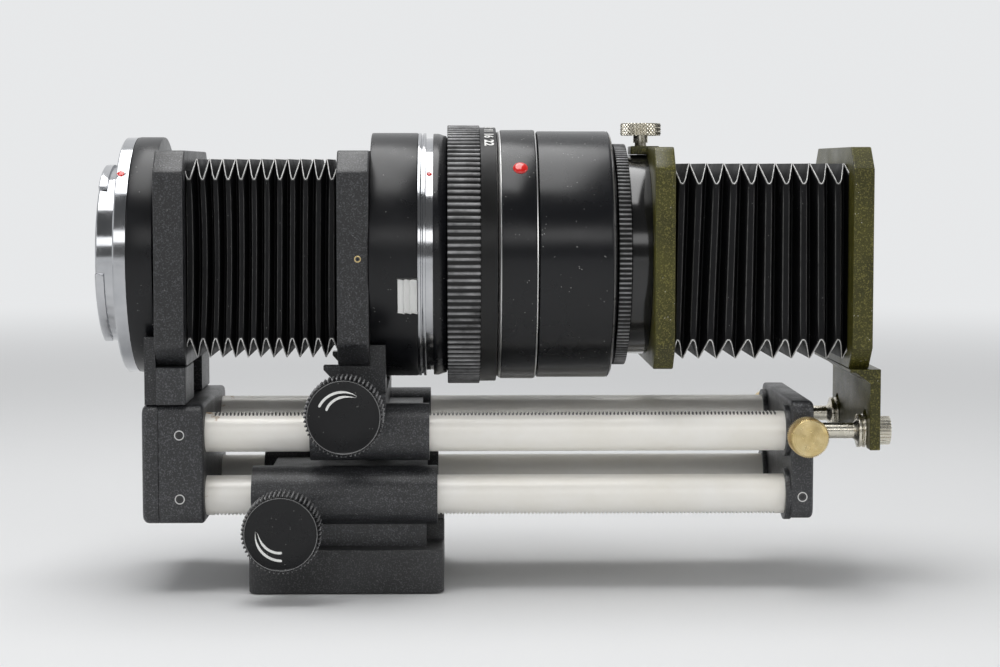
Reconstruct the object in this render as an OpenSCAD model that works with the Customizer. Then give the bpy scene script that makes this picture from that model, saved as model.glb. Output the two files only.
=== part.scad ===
// Macro focusing bellows with a lens and a slide-copying attachment.
// X runs along the lens axis towards the slide holder, +Z is up, and the camera ring is at -X.
// The origin is the mouth of the tripod thread, in the middle of the foot's underside.

/* [Rails] */
// Diameter of each of the four rails
rail_d = 10; // [9:0.5:10.5]
// Distance of the rails from the middle plane
rail_y = 20.5; // [20:0.5:21.5]
// Height of the lower pair of rails
lower_z = 23.9; // [23.4:0.1:24.4]
// Height of the upper pair above the lower pair
rail_rise = 16; // [16:0.1:16.6]
// Diameter of the slide copier's rods, which run inside the upper rails
rod_d = 4; // [3.6:0.1:4.2]

/* [Rack and pinion] */
// Module of the rack and pinion teeth
tooth_m = 0.3; // [0.3:0.01:0.32]
// Teeth on each pinion
pinion_teeth = 10; // [10:2:12]
// Length of the toothed part of each pinion
pinion_len = 6.4; // [6.2:0.2:7]

/* [Standards] */
// Height of the lens axis
axis_z = 83.7; // [83:0.1:85]
// Width of the rear and front standards
frame_w = 61; // [60:0.5:63]
// Height of the rear and front standards
frame_h = 53.6; // [53:0.1:56]
// Cut corner of the standards
frame_cut = 5.6; // [4:0.1:7]
// Thickness of the rear standard
rear_t = 7.4; // [7:0.1:8]
// Thickness of the lens standard
lens_t = 7.9; // [7:0.1:9]

/* [Bellows] */
// Outer width of both bellows
bellows_w = 50; // [48:0.5:52]
// Outer height of the rear bellows
rear_bellows_h = 49.6; // [48:0.2:50]
// Outer height of the front bellows
front_bellows_h = 49; // [48:0.2:50]
// Depth of a fold
fold_d = 5; // [4:0.25:5]
// Side folds of the rear bellows
rear_folds = 12; // [10:1:14]
// Side folds of the front bellows
front_folds = 10; // [8:1:12]
// Thickness of the folded cloth
cloth_t = 0.6; // [0.5:0.05:0.8]

/* [Lens] */
// Radius over the ridges of the aperture ring
aperture_r = 33.4; // [33:0.1:34]
// Radius of the lens's front barrel
barrel_r = 31.85; // [31.5:0.05:32.3]
// Ridges around the aperture ring
aperture_ridges = 120; // [80:4:140]

/* [Knobs] */
// Radius of the two focusing knobs
knob_r = 9.75; // [9:0.05:10.2]
// Thickness of the focusing knobs
knob_t = 10; // [8:0.5:11]
// Ridges around a focusing knob
knob_ridges = 54; // [36:2:64]

/* [Fits] */
// Radial clearance of what slides or turns
run_c = 0.05; // [0.03:0.01:0.08]
// Gap between faces that pass each other
face_c = 0.3; // [0.2:0.05:0.4]

/* [Hidden] */
$fn = 96;

// Rails
rail_r = rail_d / 2;
rod_r = rod_d / 2;
upper_z = lower_z + rail_rise;
rail_seat = 10.2;
bore_r = rail_r + run_c;

// Racks: tooth sizes as shares of the module
pitch = PI * tooth_m;
pinion_r = tooth_m * pinion_teeth / 2;
rack_tip = tooth_m;
rack_root = 1.33 * tooth_m;
rack_tip_w = 0.333 * tooth_m;
rack_root_w = tooth_m;
shaft_r = pinion_r + 1.667 * tooth_m;
upper_pinion_x = 0.3;
lower_pinion_x = -15;
upper_pinion_z = upper_z + rail_r - rack_tip + pinion_r;
lower_pinion_z = lower_z - rail_r + rack_tip - pinion_r;
rack_x0 = -33;
rack_x1 = 108;

// Foot and carriages
foot_x = 24.4;
foot_y = 28;
foot_z = 11;
rib_y = 12;
rib_z = 16.5;
web_x = 20;
web_y = 22;
low_sleeve_r = rail_r + 2.4;
low_x0 = -23.6;
low_x1 = 22.8;
up_sleeve_r = rail_r + 2.2;
up_x0 = -9;
up_x1 = 20.8;
deck_z = 50;
thread_r = 2.55;
screw_xy = 16;
knob_y1 = 35;
lock_r = 1.5;

// Rear block and end plate
block_x0 = -46.4;
block_x1 = -35.2;
block_y = 28;
block_z0 = 17.5;
block_z1 = 47.4;
cover_t = 4.2;
rail_x0 = block_x1 - rail_seat;
plate_x0 = 111.3;
plate_t = 5.7;
plate_x1 = plate_x0 + plate_t;
plate_y = 27;
plate_z0 = 18.2;
plate_z1 = 47.9;
rail_x1 = plate_x1 - 0.6;
set_x = -41.2;
plate_screw_x = 114.2;

// Standards
rear_x1 = -39.5;
rear_x0 = rear_x1 - rear_t;
lens_x0 = -1.9;
lens_x1 = lens_x0 + lens_t;
frame_z0 = axis_z - frame_h / 2 - 0.1;
frame_z1 = frame_z0 + frame_h;
edge_y = frame_w / 2;
tube_r = 31.4;
tube_in = tube_r - 4.4;
throat_r = tube_r - 7.4;
window_r = tube_r - 9.4;
spigot_r = 20.6;
light_r = 18;
retainer_r = 22.3;
guard_t = 2.9;
guard_z1 = axis_z - 19.4;
column_y = 24;
rib_z1 = axis_z - 21.7;

// Camera side
ring_x0 = -53.8;
ring_x1 = rear_x0 - face_c;
ring_r = edge_y - 0.2;
flange_x0 = -57;
flange_r = ring_r - 0.1;
flange_screw_r = flange_r - 3.2;
bayonet_r = 22.2;
bayonet_x0 = -62.4;
lug_x1 = -60.2;
index_a = 44;

// Lens
tube_x1 = 18;
mount_x1 = 20;
tail_x1 = 21.8;
tail_r = 30;
core_r = 30;
core_in = 26;
rim_r = tail_r + 1.2;
cell_x = 24.4;
front_ball = 60;
rear_ball = 150;
iris_x = 44;
iris_r = 9;
dot_x = 43.6;
dot_r = 1.85;
grip_x0 = 25.4;
grip_x1 = 33.6;
band_x1 = 37.8;
index_x0 = 38;
index_x1 = 47.5;
index_r = 32.2;
front_x0 = 48.2;
front_x1 = 67.2;
filter_r = 25;
glass_x = front_x1 - 14.2;
catch_a = -16.6;
catch_z = 4.45;

// Slide copier
adapt_x0 = 68;
adapt_x1 = 71.1;
adapt_r = 28.6;
neck_r = 25.8;
neck_in = 21;
copier_x0 = 76.7;
copier_x1 = 81.7;
stage_x0 = 125.7;
stage_x1 = 130.8;
copier_z0 = axis_z - 27.8;
copier_z1 = copier_z0 + 55.4;
copier_cut = 5.4;
copier_z = (copier_z0 + copier_z1) / 2;
bracket_x1 = 133.4;
tongue_x = 75.4;
head_z = copier_z1 + 3.1;
bracket_y = 28;
upper_lock_x = 6;
spigot2_r = 23.5;

// Cylinders along each axis
module cyl_x(r, x0, x1, y, z) {
    translate([x0, y, z])
        rotate([0, 90, 0])
            cylinder(r = r, h = x1 - x0);
}

module cyl_y(r, y0, y1, x, z) {
    translate([x, y1, z])
        rotate([90, 0, 0])
            cylinder(r = r, h = y1 - y0);
}

module cyl_z(r, z0, z1, x, y) {
    translate([x, y, z0])
        cylinder(r = r, h = z1 - z0);
}

// Box between two corners
module box(a, b) {
    translate(a)
        cube(b - a);
}

// Extrudes a (Y, Z) outline from x0 to x1
module slab(x0, x1) {
    translate([x0, 0, 0])
        rotate([90, 0, 90])
            linear_extrude(x1 - x0)
                children();
}

// Extrudes an (X, Z) outline from y0 to y1
module side_slab(y0, y1) {
    translate([0, y1, 0])
        rotate([90, 0, 0])
            linear_extrude(y1 - y0)
                children();
}

// Turned solid about the lens axis: a closed profile of [x, radius] points
module turned(p) {
    translate([0, 0, axis_z])
        rotate([0, 90, 0])
            rotate_extrude()
                polygon([for (q = p) [q[1], q[0]]]);
}

// A thing built along -Y about the lens axis, turned up by an angle
module around(a) {
    translate([0, 0, axis_z])
        rotate([-a, 0, 0])
            children();
}

// Rectangle with cut corners, in (Y, Z)
function cut_rect(y, z0, z1, c) = [
    [-y + c, z0], [y - c, z0], [y, z0 + c], [y, z1 - c],
    [y - c, z1], [-y + c, z1], [-y, z1 - c], [-y, z0 + c]
];

// Rectangle with round corners, in (Y, Z)
module round_rect(y, z0, z1, r) {
    translate([-y + r, z0])
        square([2 * (y - r), z1 - z0]);
    translate([-y, z0 + r])
        square([2 * y, z1 - z0 - 2 * r]);
    for (sy = [-1, 1])
        for (cz = [z0 + r, z1 - r])
            translate([sy * (y - r), cz])
                circle(r);
}

// Outline with n sharp ridges around a circle
function ridged(r, deep, n) = [
    for (i = [0 : 2 * n - 1])
        let (a = 180 * i / n, q = r - deep * (i % 2))
            [q * cos(a), q * sin(a)]
];

// Comb that cuts a rack's tooth gaps, with a gap centred on x = 0
module rack_comb(x0, x1) {
    flank = (rack_root_w - rack_tip_w) / (rack_tip + rack_root);
    low_w = pitch / 2 - rack_root_w;
    high_w = pitch / 2 - rack_tip_w + 0.2 * flank;
    top = rack_tip + 0.2;
    first = ceil(x0 / pitch);
    last = floor(x1 / pitch);
    polygon(concat(
        [[last * pitch + pitch / 2, top + 1], [first * pitch - pitch / 2, top + 1]],
        [for (i = [first : last], s = [0 : 3])
            [i * pitch + [-high_w, -low_w, low_w, high_w][s],
             [top, -rack_root, -rack_root, top][s]]]
    ));
}

// Outline of a pinion whose straight flanks clear the rack at every angle
function pinion_outline() = [
    for (i = [0 : pinion_teeth - 1], s = [0 : 5])
        let (
            a = 360 * i / pinion_teeth,
            r = [-1.333, 0, 0.833, 0.833, 0, -1.333][s] * tooth_m + pinion_r,
            h = [0.567, 0.633, 0.233, -0.233, -0.633, -0.567][s] * tooth_m,
            t = sqrt(r * r - h * h)
        )
        [h * cos(a) - t * sin(a), h * sin(a) + t * cos(a)]
];

// Folded bellows from x0 to x1 with n side folds: side folds are out where top folds are in.
// Ring k is an eight-sided outline of half extents (s, t); the ends stand on the frames.
module bellows(x0, x1, n, w, h, zc) {
    last = 2 * n;
    yc = w / 2 - 5;
    vc = h / 2 - 5;
    collar = 23;
    function side(k) = k == 0 || k == last ? collar : w / 2 - (k % 2 == 1 ? 0 : fold_d);
    function top(k) = k == 0 || k == last ? collar : h / 2 - (k % 2 == 0 ? 0 : fold_d);
    function ring(x, s, t, yc, vc) = [
        [x, s, zc - vc], [x, s, zc + vc], [x, yc, zc + t], [x, -yc, zc + t],
        [x, -s, zc + vc], [x, -s, zc - vc], [x, -yc, zc - t], [x, yc, zc - t]
    ];
    function rings(o) = [
        for (k = [0 : last])
            each ring(x0 + (x1 - x0) * k / last, side(k) - o, top(k) - o, yc - o, vc - o)
    ];
    m = 8 * (last + 1);
    function at(k, j, o) = o * m + 8 * k + j % 8;
    polyhedron(
        points = concat(rings(0), rings(cloth_t)),
        faces = concat(
            [for (k = [0 : last - 1], j = [0 : 7], s = [0, 1])
                s == 0
                    ? [at(k, j, 0), at(k + 1, j, 0), at(k + 1, j + 1, 0)]
                    : [at(k, j, 0), at(k + 1, j + 1, 0), at(k, j + 1, 0)]],
            [for (k = [0 : last - 1], j = [0 : 7], s = [0, 1])
                s == 0
                    ? [at(k, j, 1), at(k + 1, j + 1, 1), at(k + 1, j, 1)]
                    : [at(k, j, 1), at(k, j + 1, 1), at(k + 1, j + 1, 1)]],
            [for (j = [0 : 7], s = [0, 1])
                s == 0
                    ? [at(0, j, 0), at(0, j + 1, 0), at(0, j + 1, 1)]
                    : [at(0, j, 0), at(0, j + 1, 1), at(0, j, 1)]],
            [for (j = [0 : 7], s = [0, 1])
                s == 0
                    ? [at(last, j, 0), at(last, j + 1, 1), at(last, j + 1, 0)]
                    : [at(last, j, 0), at(last, j, 1), at(last, j + 1, 1)]]
        )
    );
}

// Foot with the tripod thread, and its rib that locates the carriage
module tripod_foot() {
    color("#2c2d2f")
    difference() {
        union() {
            for (sx = [-1, 1])
                for (sy = [-1, 1])
                    cyl_z(3, 0, foot_z, sx * (foot_x - 3), sy * (foot_y - 3));
            box([-foot_x, -foot_y + 3, 0], [foot_x, foot_y - 3, foot_z]);
            box([-foot_x + 3, -foot_y, 0], [foot_x - 3, foot_y, foot_z]);
            box([-foot_x, -rib_y, foot_z - 1], [foot_x, rib_y, rib_z]);
        }
        cyl_z(thread_r, -1, 9.5, 0, 0);
        for (sx = [-1, 1])
            for (sy = [-1, 1]) {
                cyl_z(1.5, 1, foot_z + 1, sx * screw_xy, sy * screw_xy);
                cyl_z(2.8, -1, 4.5, sx * screw_xy, sy * screw_xy);
            }
    }
}

// Four screws from below into the carriage
module foot_screws() {
    color("#8f8f90")
    for (sx = [-1, 1])
        for (sy = [-1, 1])
            difference() {
                union() {
                    cyl_z(2.7, 2, 4.5, sx * screw_xy, sy * screw_xy);
                    cyl_z(1.5, 4.4, 15, sx * screw_xy, sy * screw_xy);
                }
                translate([sx * screw_xy, sy * screw_xy, 1])
                    cylinder(r = 1.3, h = 2.2, $fn = 6);
            }
}

// Carriage fixed to the foot, in which the lower rails slide
module lower_carriage() {
    color("#1d1d1e")
    difference() {
        union() {
            for (s = [-1, 1])
                cyl_x(low_sleeve_r, low_x0, low_x1, s * rail_y, lower_z);
            box([-web_x, -web_y, foot_z], [web_x, web_y, lower_z + 5]);
            box([lower_pinion_x - 5, -rail_y - low_sleeve_r, lower_pinion_z - 4.4],
                [lower_pinion_x + 5, -rail_y + 6, lower_z]);
            cyl_y(3.8, -knob_y1 + face_c, -rail_y, lower_pinion_x, lower_pinion_z);
            cyl_y(3.6, rail_y, 32, 0, lower_z);
        }
        for (s = [-1, 1])
            cyl_x(bore_r, low_x0 - 1, low_x1 + 1, s * rail_y, lower_z);
        box([-foot_x, -rib_y, foot_z - 1], [foot_x, rib_y, rib_z]);
        cyl_y(shaft_r + run_c, -40, -13.6, lower_pinion_x, lower_pinion_z);
        cyl_y(lock_r + run_c, rail_y, 33, 0, lower_z);
        for (sx = [-1, 1])
            for (sy = [-1, 1])
                cyl_z(1.5, foot_z - 1, 15, sx * screw_xy, sy * screw_xy);
    }
}

// One rail between the rear block and the end plate
module rail(y, z) {
    cyl_x(rail_r, rail_x0, rail_x1, y, z);
}

// Lower near rail, with its rack underneath
module lower_near_rail() {
    color("#c9c2b6")
    translate([0, 0, lower_z])
        mirror([0, 0, 1])
            difference() {
                rail(-rail_y, 0);
                translate([lower_pinion_x, 0, rail_r - rack_tip])
                    side_slab(-rail_y - 4, -rail_y + 4)
                        rack_comb(rack_x0 - lower_pinion_x, rack_x1 - lower_pinion_x);
            }
}

// Lower far rail
module lower_far_rail() {
    color("#c9c2b6")
    rail(rail_y, lower_z);
}

// Bore of an upper rail, and the side hole of the screw that clamps the rod in it
module rod_way(s) {
    cyl_x(rod_r + run_c, rail_x0 - 1, rail_x1 + 1, s * rail_y, upper_z);
    cyl_y(lock_r + 0.1, min(s * rail_y, s * (rail_y + 6)), max(s * rail_y, s * (rail_y + 6)),
        plate_screw_x, upper_z);
}

// Upper near rail: a tube with its rack on top
module upper_near_rail() {
    color("#c9c2b6")
    difference() {
        rail(-rail_y, upper_z);
        rod_way(-1);
        translate([upper_pinion_x, 0, upper_pinion_z - pinion_r])
            side_slab(-rail_y - 4, -rail_y + 4)
                rack_comb(rack_x0 - upper_pinion_x, rack_x1 - upper_pinion_x);
    }
}

// Upper far rail: a tube
module upper_far_rail() {
    color("#c9c2b6")
    difference() {
        rail(rail_y, upper_z);
        rod_way(1);
    }
}

// Block that holds the left ends of the rails
module rear_block() {
    color("#1b1b1c")
    difference() {
        slab(block_x0, block_x1)
            round_rect(block_y, block_z0, block_z1, 3);
        for (s = [-1, 1])
            for (z = [lower_z, upper_z]) {
                cyl_x(rail_r, rail_x0, block_x1 + 1, s * rail_y, z);
                cyl_y(1.25, min(s * rail_y, s * 30), max(s * rail_y, s * 30), set_x, z);
            }
    }
}

// Cover plate over the back of the block
module block_cover() {
    color("#161617")
    slab(block_x0 - cover_t, block_x0)
        round_rect(block_y, block_z0, block_z1, 3);
}

// Grub screws that hold the rails in the block and the lower rails in the end plate
module rail_set_screws() {
    color("#5c5c5e")
    difference() {
        for (s = [-1, 1]) {
            for (z = [lower_z, upper_z])
                cyl_y(1.25, min(s * (rail_y + rail_r), s * (block_y - 0.4)),
                    max(s * (rail_y + rail_r), s * (block_y - 0.4)), set_x, z);
            cyl_y(1.25, min(s * (rail_y + rail_r), s * (plate_y - 0.3)),
                max(s * (rail_y + rail_r), s * (plate_y - 0.3)), plate_screw_x, lower_z);
        }
        for (z = [lower_z, upper_z])
            box([set_x - 0.9, -block_y - 1, z - 0.2], [set_x + 0.9, -block_y + 1, z + 0.2]);
    }
}

// Two legs that carry the rear standard on the block
module rear_column() {
    color("#1b1b1c")
    for (s = [-1, 1])
        box([rear_x0, min(s * 9.5, s * block_y), block_z1],
            [rear_x1, max(s * 9.5, s * block_y), frame_z0]);
}

// Plate under the camera ring, cut round to clear it
module ring_guard() {
    color("#141415")
    difference() {
        box([rear_x0 - guard_t, -plate_y, block_z1], [rear_x0, plate_y, guard_z1]);
        cyl_x(ring_r + 0.6, ring_x0, rear_x0 + 1, 0, axis_z);
        slab(rear_x0 - 0.1, rear_x0 + 1)
            translate([-40, frame_z0])
                square([80, 20]);
    }
}

// Rear standard: the camera ring turns in its bore
module rear_frame() {
    color("#1e1e1f")
    difference() {
        slab(rear_x0, rear_x1)
            polygon(cut_rect(frame_w / 2, frame_z0, frame_z1, frame_cut));
        cyl_x(spigot_r, rear_x0 - 1, rear_x1 + 1, 0, axis_z);
        cyl_x(retainer_r + face_c, rear_x1 - 1.5, rear_x1 + 1, 0, axis_z);
    }
}

// Plate that joins the right ends of the rails
module end_plate() {
    color("#1d1d1e")
    difference() {
        union() {
            slab(plate_x0, plate_x1)
                round_rect(plate_y, plate_z0, plate_z1, 3);
            for (s = [-1, 1])
                for (z = [lower_z, upper_z])
                    cyl_x(rail_r + 1.5, plate_x0 - 1.2, plate_x0 + 1, s * rail_y, z);
        }
        for (s = [-1, 1]) {
            for (z = [lower_z, upper_z])
                cyl_x(rail_r, plate_x0 - 2, rail_x1, s * rail_y, z);
            cyl_x(rod_r + 0.6, plate_x0, plate_x1 + 1, s * rail_y, upper_z);
            cyl_y(lock_r + run_c, min(s * rail_y, s * 30), max(s * rail_y, s * 30),
                plate_screw_x, upper_z);
            cyl_y(1.25, min(s * rail_y, s * 30), max(s * rail_y, s * 30),
                plate_screw_x, lower_z);
        }
    }
}

// Bellows between the rear and lens standards
module rear_bellows() {
    color("#161616")
    bellows(rear_x1, lens_x0, rear_folds, bellows_w, rear_bellows_h, axis_z - 0.2);
}

// Ring that turns on the rear standard and carries the camera
module camera_ring() {
    color("#18181a")
    turned([
        [ring_x0, light_r], [ring_x0, ring_r - 0.5], [ring_x0 + 0.5, ring_r],
        [ring_x1 - 0.5, ring_r], [ring_x1, ring_r - 0.5], [ring_x1, spigot_r - run_c],
        [rear_x1 - 1.4, spigot_r - run_c], [rear_x1 - 1.4, light_r]
    ]);
}

// Ring behind the rear standard that keeps the camera ring in
module ring_retainer() {
    color("#3a3a3c")
    turned([
        [rear_x1 - 1.4, light_r], [rear_x1 - 1.4, retainer_r],
        [rear_x1 - 0.2, retainer_r], [rear_x1 - 0.2, light_r]
    ]);
}

// Polished flange that the camera body rests on
module camera_flange() {
    color("#b9b6b0")
    difference() {
        turned([
            [flange_x0, light_r + 1], [flange_x0, flange_r - 0.4], [flange_x0 + 0.4, flange_r],
            [ring_x0, flange_r], [ring_x0, light_r + 1]
        ]);
        for (i = [0 : 3])
            around(90 * i + 20)
                cyl_x(1.6, flange_x0 - 1, ring_x0 + 1, -flange_screw_r, 0);
        around(index_a)
            cyl_y(0.9, -flange_r - 1, -flange_r + 0.8, (flange_x0 + ring_x0) / 2 - 0.3, 0);
    }
}

// Screws that hold the flange
module flange_screws() {
    color("#9c9c9c")
    for (i = [0 : 3])
        around(90 * i + 20)
            difference() {
                cyl_x(1.6, flange_x0, ring_x0, -flange_screw_r, 0);
                box([flange_x0 - 1, -flange_screw_r - 1.2, -0.25],
                    [flange_x0 + 0.5, -flange_screw_r + 1.2, 0.25]);
            }
}

// Red dot on the edge of the flange
module flange_index_dot() {
    color("#b02a20")
    around(index_a)
        cyl_y(0.9, -flange_r + 0.05, -flange_r + 0.8, (flange_x0 + ring_x0) / 2 - 0.3, 0);
}

// Bayonet with three lugs that enters the camera
module camera_bayonet() {
    color("#b9b6b0")
    union() {
        turned([
            [bayonet_x0, light_r + 1], [bayonet_x0, bayonet_r - 0.4],
            [bayonet_x0 + 0.4, bayonet_r], [flange_x0, bayonet_r], [flange_x0, light_r + 1]
        ]);
        for (i = [0 : 2])
            intersection() {
                turned([
                    [bayonet_x0, bayonet_r - 1.2], [bayonet_x0, bayonet_r + 0.7],
                    [bayonet_x0 + 0.3, bayonet_r + 1], [lug_x1, bayonet_r + 1],
                    [lug_x1, bayonet_r - 1.2]
                ]);
                around(120 * i + 80)
                    slab(bayonet_x0 - 1, lug_x1 + 1)
                        polygon([[0, 0], [-40, -23], [-40, 23]]);
            }
    }
}

// Carriage that slides on the upper rails and carries the lens standard
module upper_carriage() {
    color("#1b1b1c")
    difference() {
        union() {
            for (s = [-1, 1])
                cyl_x(up_sleeve_r, up_x0, up_x1, s * rail_y, upper_z);
            box([up_x0 + 2, -rail_y, upper_z - 5], [up_x1 - 2, rail_y, upper_z + 5]);
            box([upper_pinion_x - 6.3, -rail_y - up_sleeve_r, upper_z],
                [lens_x1 + 4, rail_y + up_sleeve_r, deck_z]);
            cyl_y(3.8, -knob_y1 + face_c, -rail_y, upper_pinion_x, upper_pinion_z);
            cyl_y(3.6, rail_y, 32, upper_lock_x, upper_z);
        }
        for (s = [-1, 1])
            cyl_x(bore_r, up_x0 - 1, up_x1 + 1, s * rail_y, upper_z);
        cyl_y(shaft_r + run_c, -40, -13.6, upper_pinion_x, upper_pinion_z);
        cyl_y(lock_r + run_c, rail_y, 33, upper_lock_x, upper_z);
    }
}

// Column between the carriage and the lens standard, with its front rib
module lens_column() {
    color("#1b1b1c")
    difference() {
        union() {
            box([lens_x0, -column_y, deck_z], [lens_x1, column_y, frame_z0]);
            for (s = [-1, 1]) {
                side_slab(min(s * (column_y - 4), s * column_y), max(s * (column_y - 4), s * column_y))
                    polygon([
                        [lens_x0, frame_z0 - 5], [lens_x0, frame_z0],
                        [lens_x0 - 3.7, frame_z0], [lens_x0 - 3.7, frame_z0 - 1]
                    ]);
                box([lens_x1, min(s * (column_y - 8), s * column_y), deck_z],
                    [lens_x1 + 3.9, max(s * (column_y - 8), s * column_y), rib_z1]);
            }
        }
        cyl_x(tube_r, lens_x1, lens_x1 + 8, 0, axis_z);
    }
}

// Lens standard, with a through bore for the light
module lens_frame() {
    color("#1e1e1f")
    difference() {
        slab(lens_x0, lens_x1)
            polygon(cut_rect(frame_w / 2, frame_z0, frame_z1, frame_cut));
        cyl_x(window_r, lens_x0 - 1, lens_x1 + 1, 0, axis_z);
        for (s = [-1, 1])
            cyl_y(0.8, min(s * (edge_y - 1), s * (edge_y + 1)),
                max(s * (edge_y - 1), s * (edge_y + 1)), lens_x1 - 2.7, axis_z);
    }
}

// Small screws in the edges of the lens standard
module frame_screws() {
    color("#6a6a6c")
    for (s = [-1, 1])
        cyl_y(0.8, min(s * (edge_y - 1), s * (edge_y - 0.2)),
            max(s * (edge_y - 1), s * (edge_y - 0.2)), lens_x1 - 2.7, axis_z);
}

// Tube between the lens standard and the lens mount, with the slot of the release catch
module mount_tube() {
    color("#19191a")
    difference() {
        turned([
            [lens_x1, window_r], [lens_x1, tube_r - 0.4], [lens_x1 + 0.4, tube_r],
            [tube_x1, tube_r], [tube_x1, tube_in], [lens_x1 + 2, tube_in], [lens_x1 + 2, window_r]
        ]);
        around(catch_a) {
            box([tube_x1 - 7.4, -tube_r - 2, -catch_z - 0.2], [tube_x1 + 1, -tube_r + 1.4, catch_z + 0.2]);
            box([tube_x1 - 5.9, -tube_r, -2.6], [tube_x1 - 0.9, -tube_in + 1, 2.6]);
        }
    }
}

// Sprung catch that lets the lens go when it is drawn back, with ribs for the thumb
module release_catch() {
    color("#c4c4c4")
    around(catch_a) {
        difference() {
            box([tube_x1 - 4.9, -tube_r - 1.2, -catch_z], [tube_x1 - 0.1, -tube_r + 1.3, catch_z]);
            for (i = [0 : 3])
                translate([tube_x1 - 3.9 + i * 0.95, -tube_r - 1.2, 0])
                    rotate([0, 0, 45])
                        cube([0.55, 0.55, 20], center = true);
        }
        box([tube_x1 - 3.6, -tube_r + 1.2, -2.3], [tube_x1 - 1.2, -tube_in - 0.4, 2.3]);
    }
}

// Polished flange that the lens rests on
module mount_flange() {
    color("#b9b6b0")
    turned([
        [tube_x1, throat_r], [tube_x1, tube_r], [mount_x1 - 0.4, tube_r],
        [mount_x1, tube_r - 0.4], [mount_x1, throat_r]
    ]);
}

// Polished back of the lens, with the sleeve that enters the mount
module lens_tail() {
    color("#b9b6b0")
    difference() {
        turned([
            [tube_x1 - 4, window_r], [tube_x1 - 4, throat_r], [mount_x1, throat_r],
            [mount_x1, tail_r], [tail_x1, tail_r], [tail_x1, window_r]
        ]);
        around(index_a)
            cyl_y(0.65, -tail_r - 1, -tail_r + 0.8, mount_x1 + 0.9, 0);
    }
}

// Red dot on the back ring of the lens
module tail_index_dot() {
    color("#b02a20")
    around(index_a)
        cyl_y(0.65, -tail_r + 0.05, -tail_r + 0.8, mount_x1 + 0.9, 0);
}

// Inner barrel that carries the rings and the glass
module lens_core() {
    color("#151516")
    turned([
        [tail_x1, window_r], [tail_x1, rim_r - 0.4], [tail_x1 + 0.4, rim_r], [tail_x1 + 1.4, rim_r],
        [grip_x0 - 0.1, core_r + 0.5], [grip_x0 - 0.1, core_r], [front_x1 - 1.2, core_r],
        [front_x1 - 1.2, core_in], [cell_x, core_in], [cell_x, window_r]
    ]);
}

// Aperture ring: a ridged grip and the band with the scale
module aperture_ring() {
    color("#19191b")
    difference() {
        union() {
            translate([0, 0, axis_z])
                slab(grip_x0, grip_x1)
                    polygon(ridged(aperture_r, 0.5, aperture_ridges));
            cyl_x(aperture_r - 0.6, grip_x1 - 1, band_x1, 0, axis_z);
        }
        cyl_x(core_r + run_c, grip_x0 - 1, band_x1 + 1, 0, axis_z);
    }
}

// Fixed ring with the index, bright along its back edge
module index_ring() {
    color("#1a1a1c")
    difference() {
        turned([
            [index_x0, core_r], [index_x0, index_r - 0.6], [index_x0 + 0.9, index_r],
            [index_x1 - 0.3, index_r], [index_x1, index_r - 0.3], [index_x1, core_r]
        ]);
        around(index_a)
            cyl_y(dot_r, -index_r - 1, -core_r - 0.4, dot_x, 0);
    }
}

// Red domed dot for fitting the lens by touch
module lens_index_dot() {
    color("#b02a20")
    around(index_a)
        intersection() {
            cyl_y(dot_r, -index_r - 1, -core_r - 0.4, dot_x, 0);
            translate([dot_x, -index_r + 1.7, 0])
                sphere(dot_r * 1.297);
        }
}

// Front barrel with the front thread
module front_barrel() {
    color("#141416")
    turned([
        [front_x0, core_r], [front_x0, barrel_r - 0.3], [front_x0 + 0.3, barrel_r],
        [front_x1 - 1, barrel_r], [front_x1 - 0.3, barrel_r - 0.4], [front_x1, barrel_r - 1],
        [front_x1, filter_r], [front_x1 - 1.2, filter_r], [front_x1 - 1.2, core_r]
    ]);
}

// Points of a lens face: an arc of radius ball whose edge, at radius r, is at x
function lens_face(x, r, ball, side) = [
    for (i = [0 : 8])
        let (q = r * i / 8)
            [x + side * (sqrt(ball * ball - q * q) - sqrt(ball * ball - r * r)), q]
];

// Front lens
module front_glass() {
    color("#7f93a3")
    turned(concat([[glass_x, 0]], lens_face(glass_x + 2.2, core_in, front_ball, 1),
        [[glass_x, core_in]]));
}

// Rear lens
module rear_glass() {
    color("#7f93a3")
    turned(concat([[cell_x, 0]], lens_face(cell_x - 0.8, window_r, rear_ball, -1),
        [[cell_x, window_r]]));
}

// Diaphragm with its six-sided opening
module iris_blades() {
    color("#202022")
    difference() {
        cyl_x(core_in, iris_x, iris_x + 0.6, 0, axis_z);
        translate([iris_x - 1, 0, axis_z])
            rotate([0, 90, 0])
                cylinder(r = iris_r, h = 3, $fn = 6);
    }
}

// Ridged ring that screws into the front of the lens
module adapter_ring() {
    color("#232324")
    difference() {
        union() {
            translate([0, 0, axis_z])
                slab(adapt_x0, adapt_x1)
                    polygon(ridged(adapt_r, 0.5, 90));
            cyl_x(filter_r, front_x1 - 1.6, adapt_x0 + 1, 0, axis_z);
        }
        cyl_x(neck_in + 0.5, front_x1 - 3, adapt_x1 + 1, 0, axis_z);
    }
}

// Glossy neck that joins the adapter ring to the copier
module copier_neck() {
    color("#0e0e0f")
    turned([
        [adapt_x1, neck_in], [adapt_x1, neck_r], [copier_x0, neck_r], [copier_x0, spigot2_r],
        [copier_x1 - 0.7, spigot2_r], [copier_x1 - 0.7, neck_in]
    ]);
}

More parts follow.
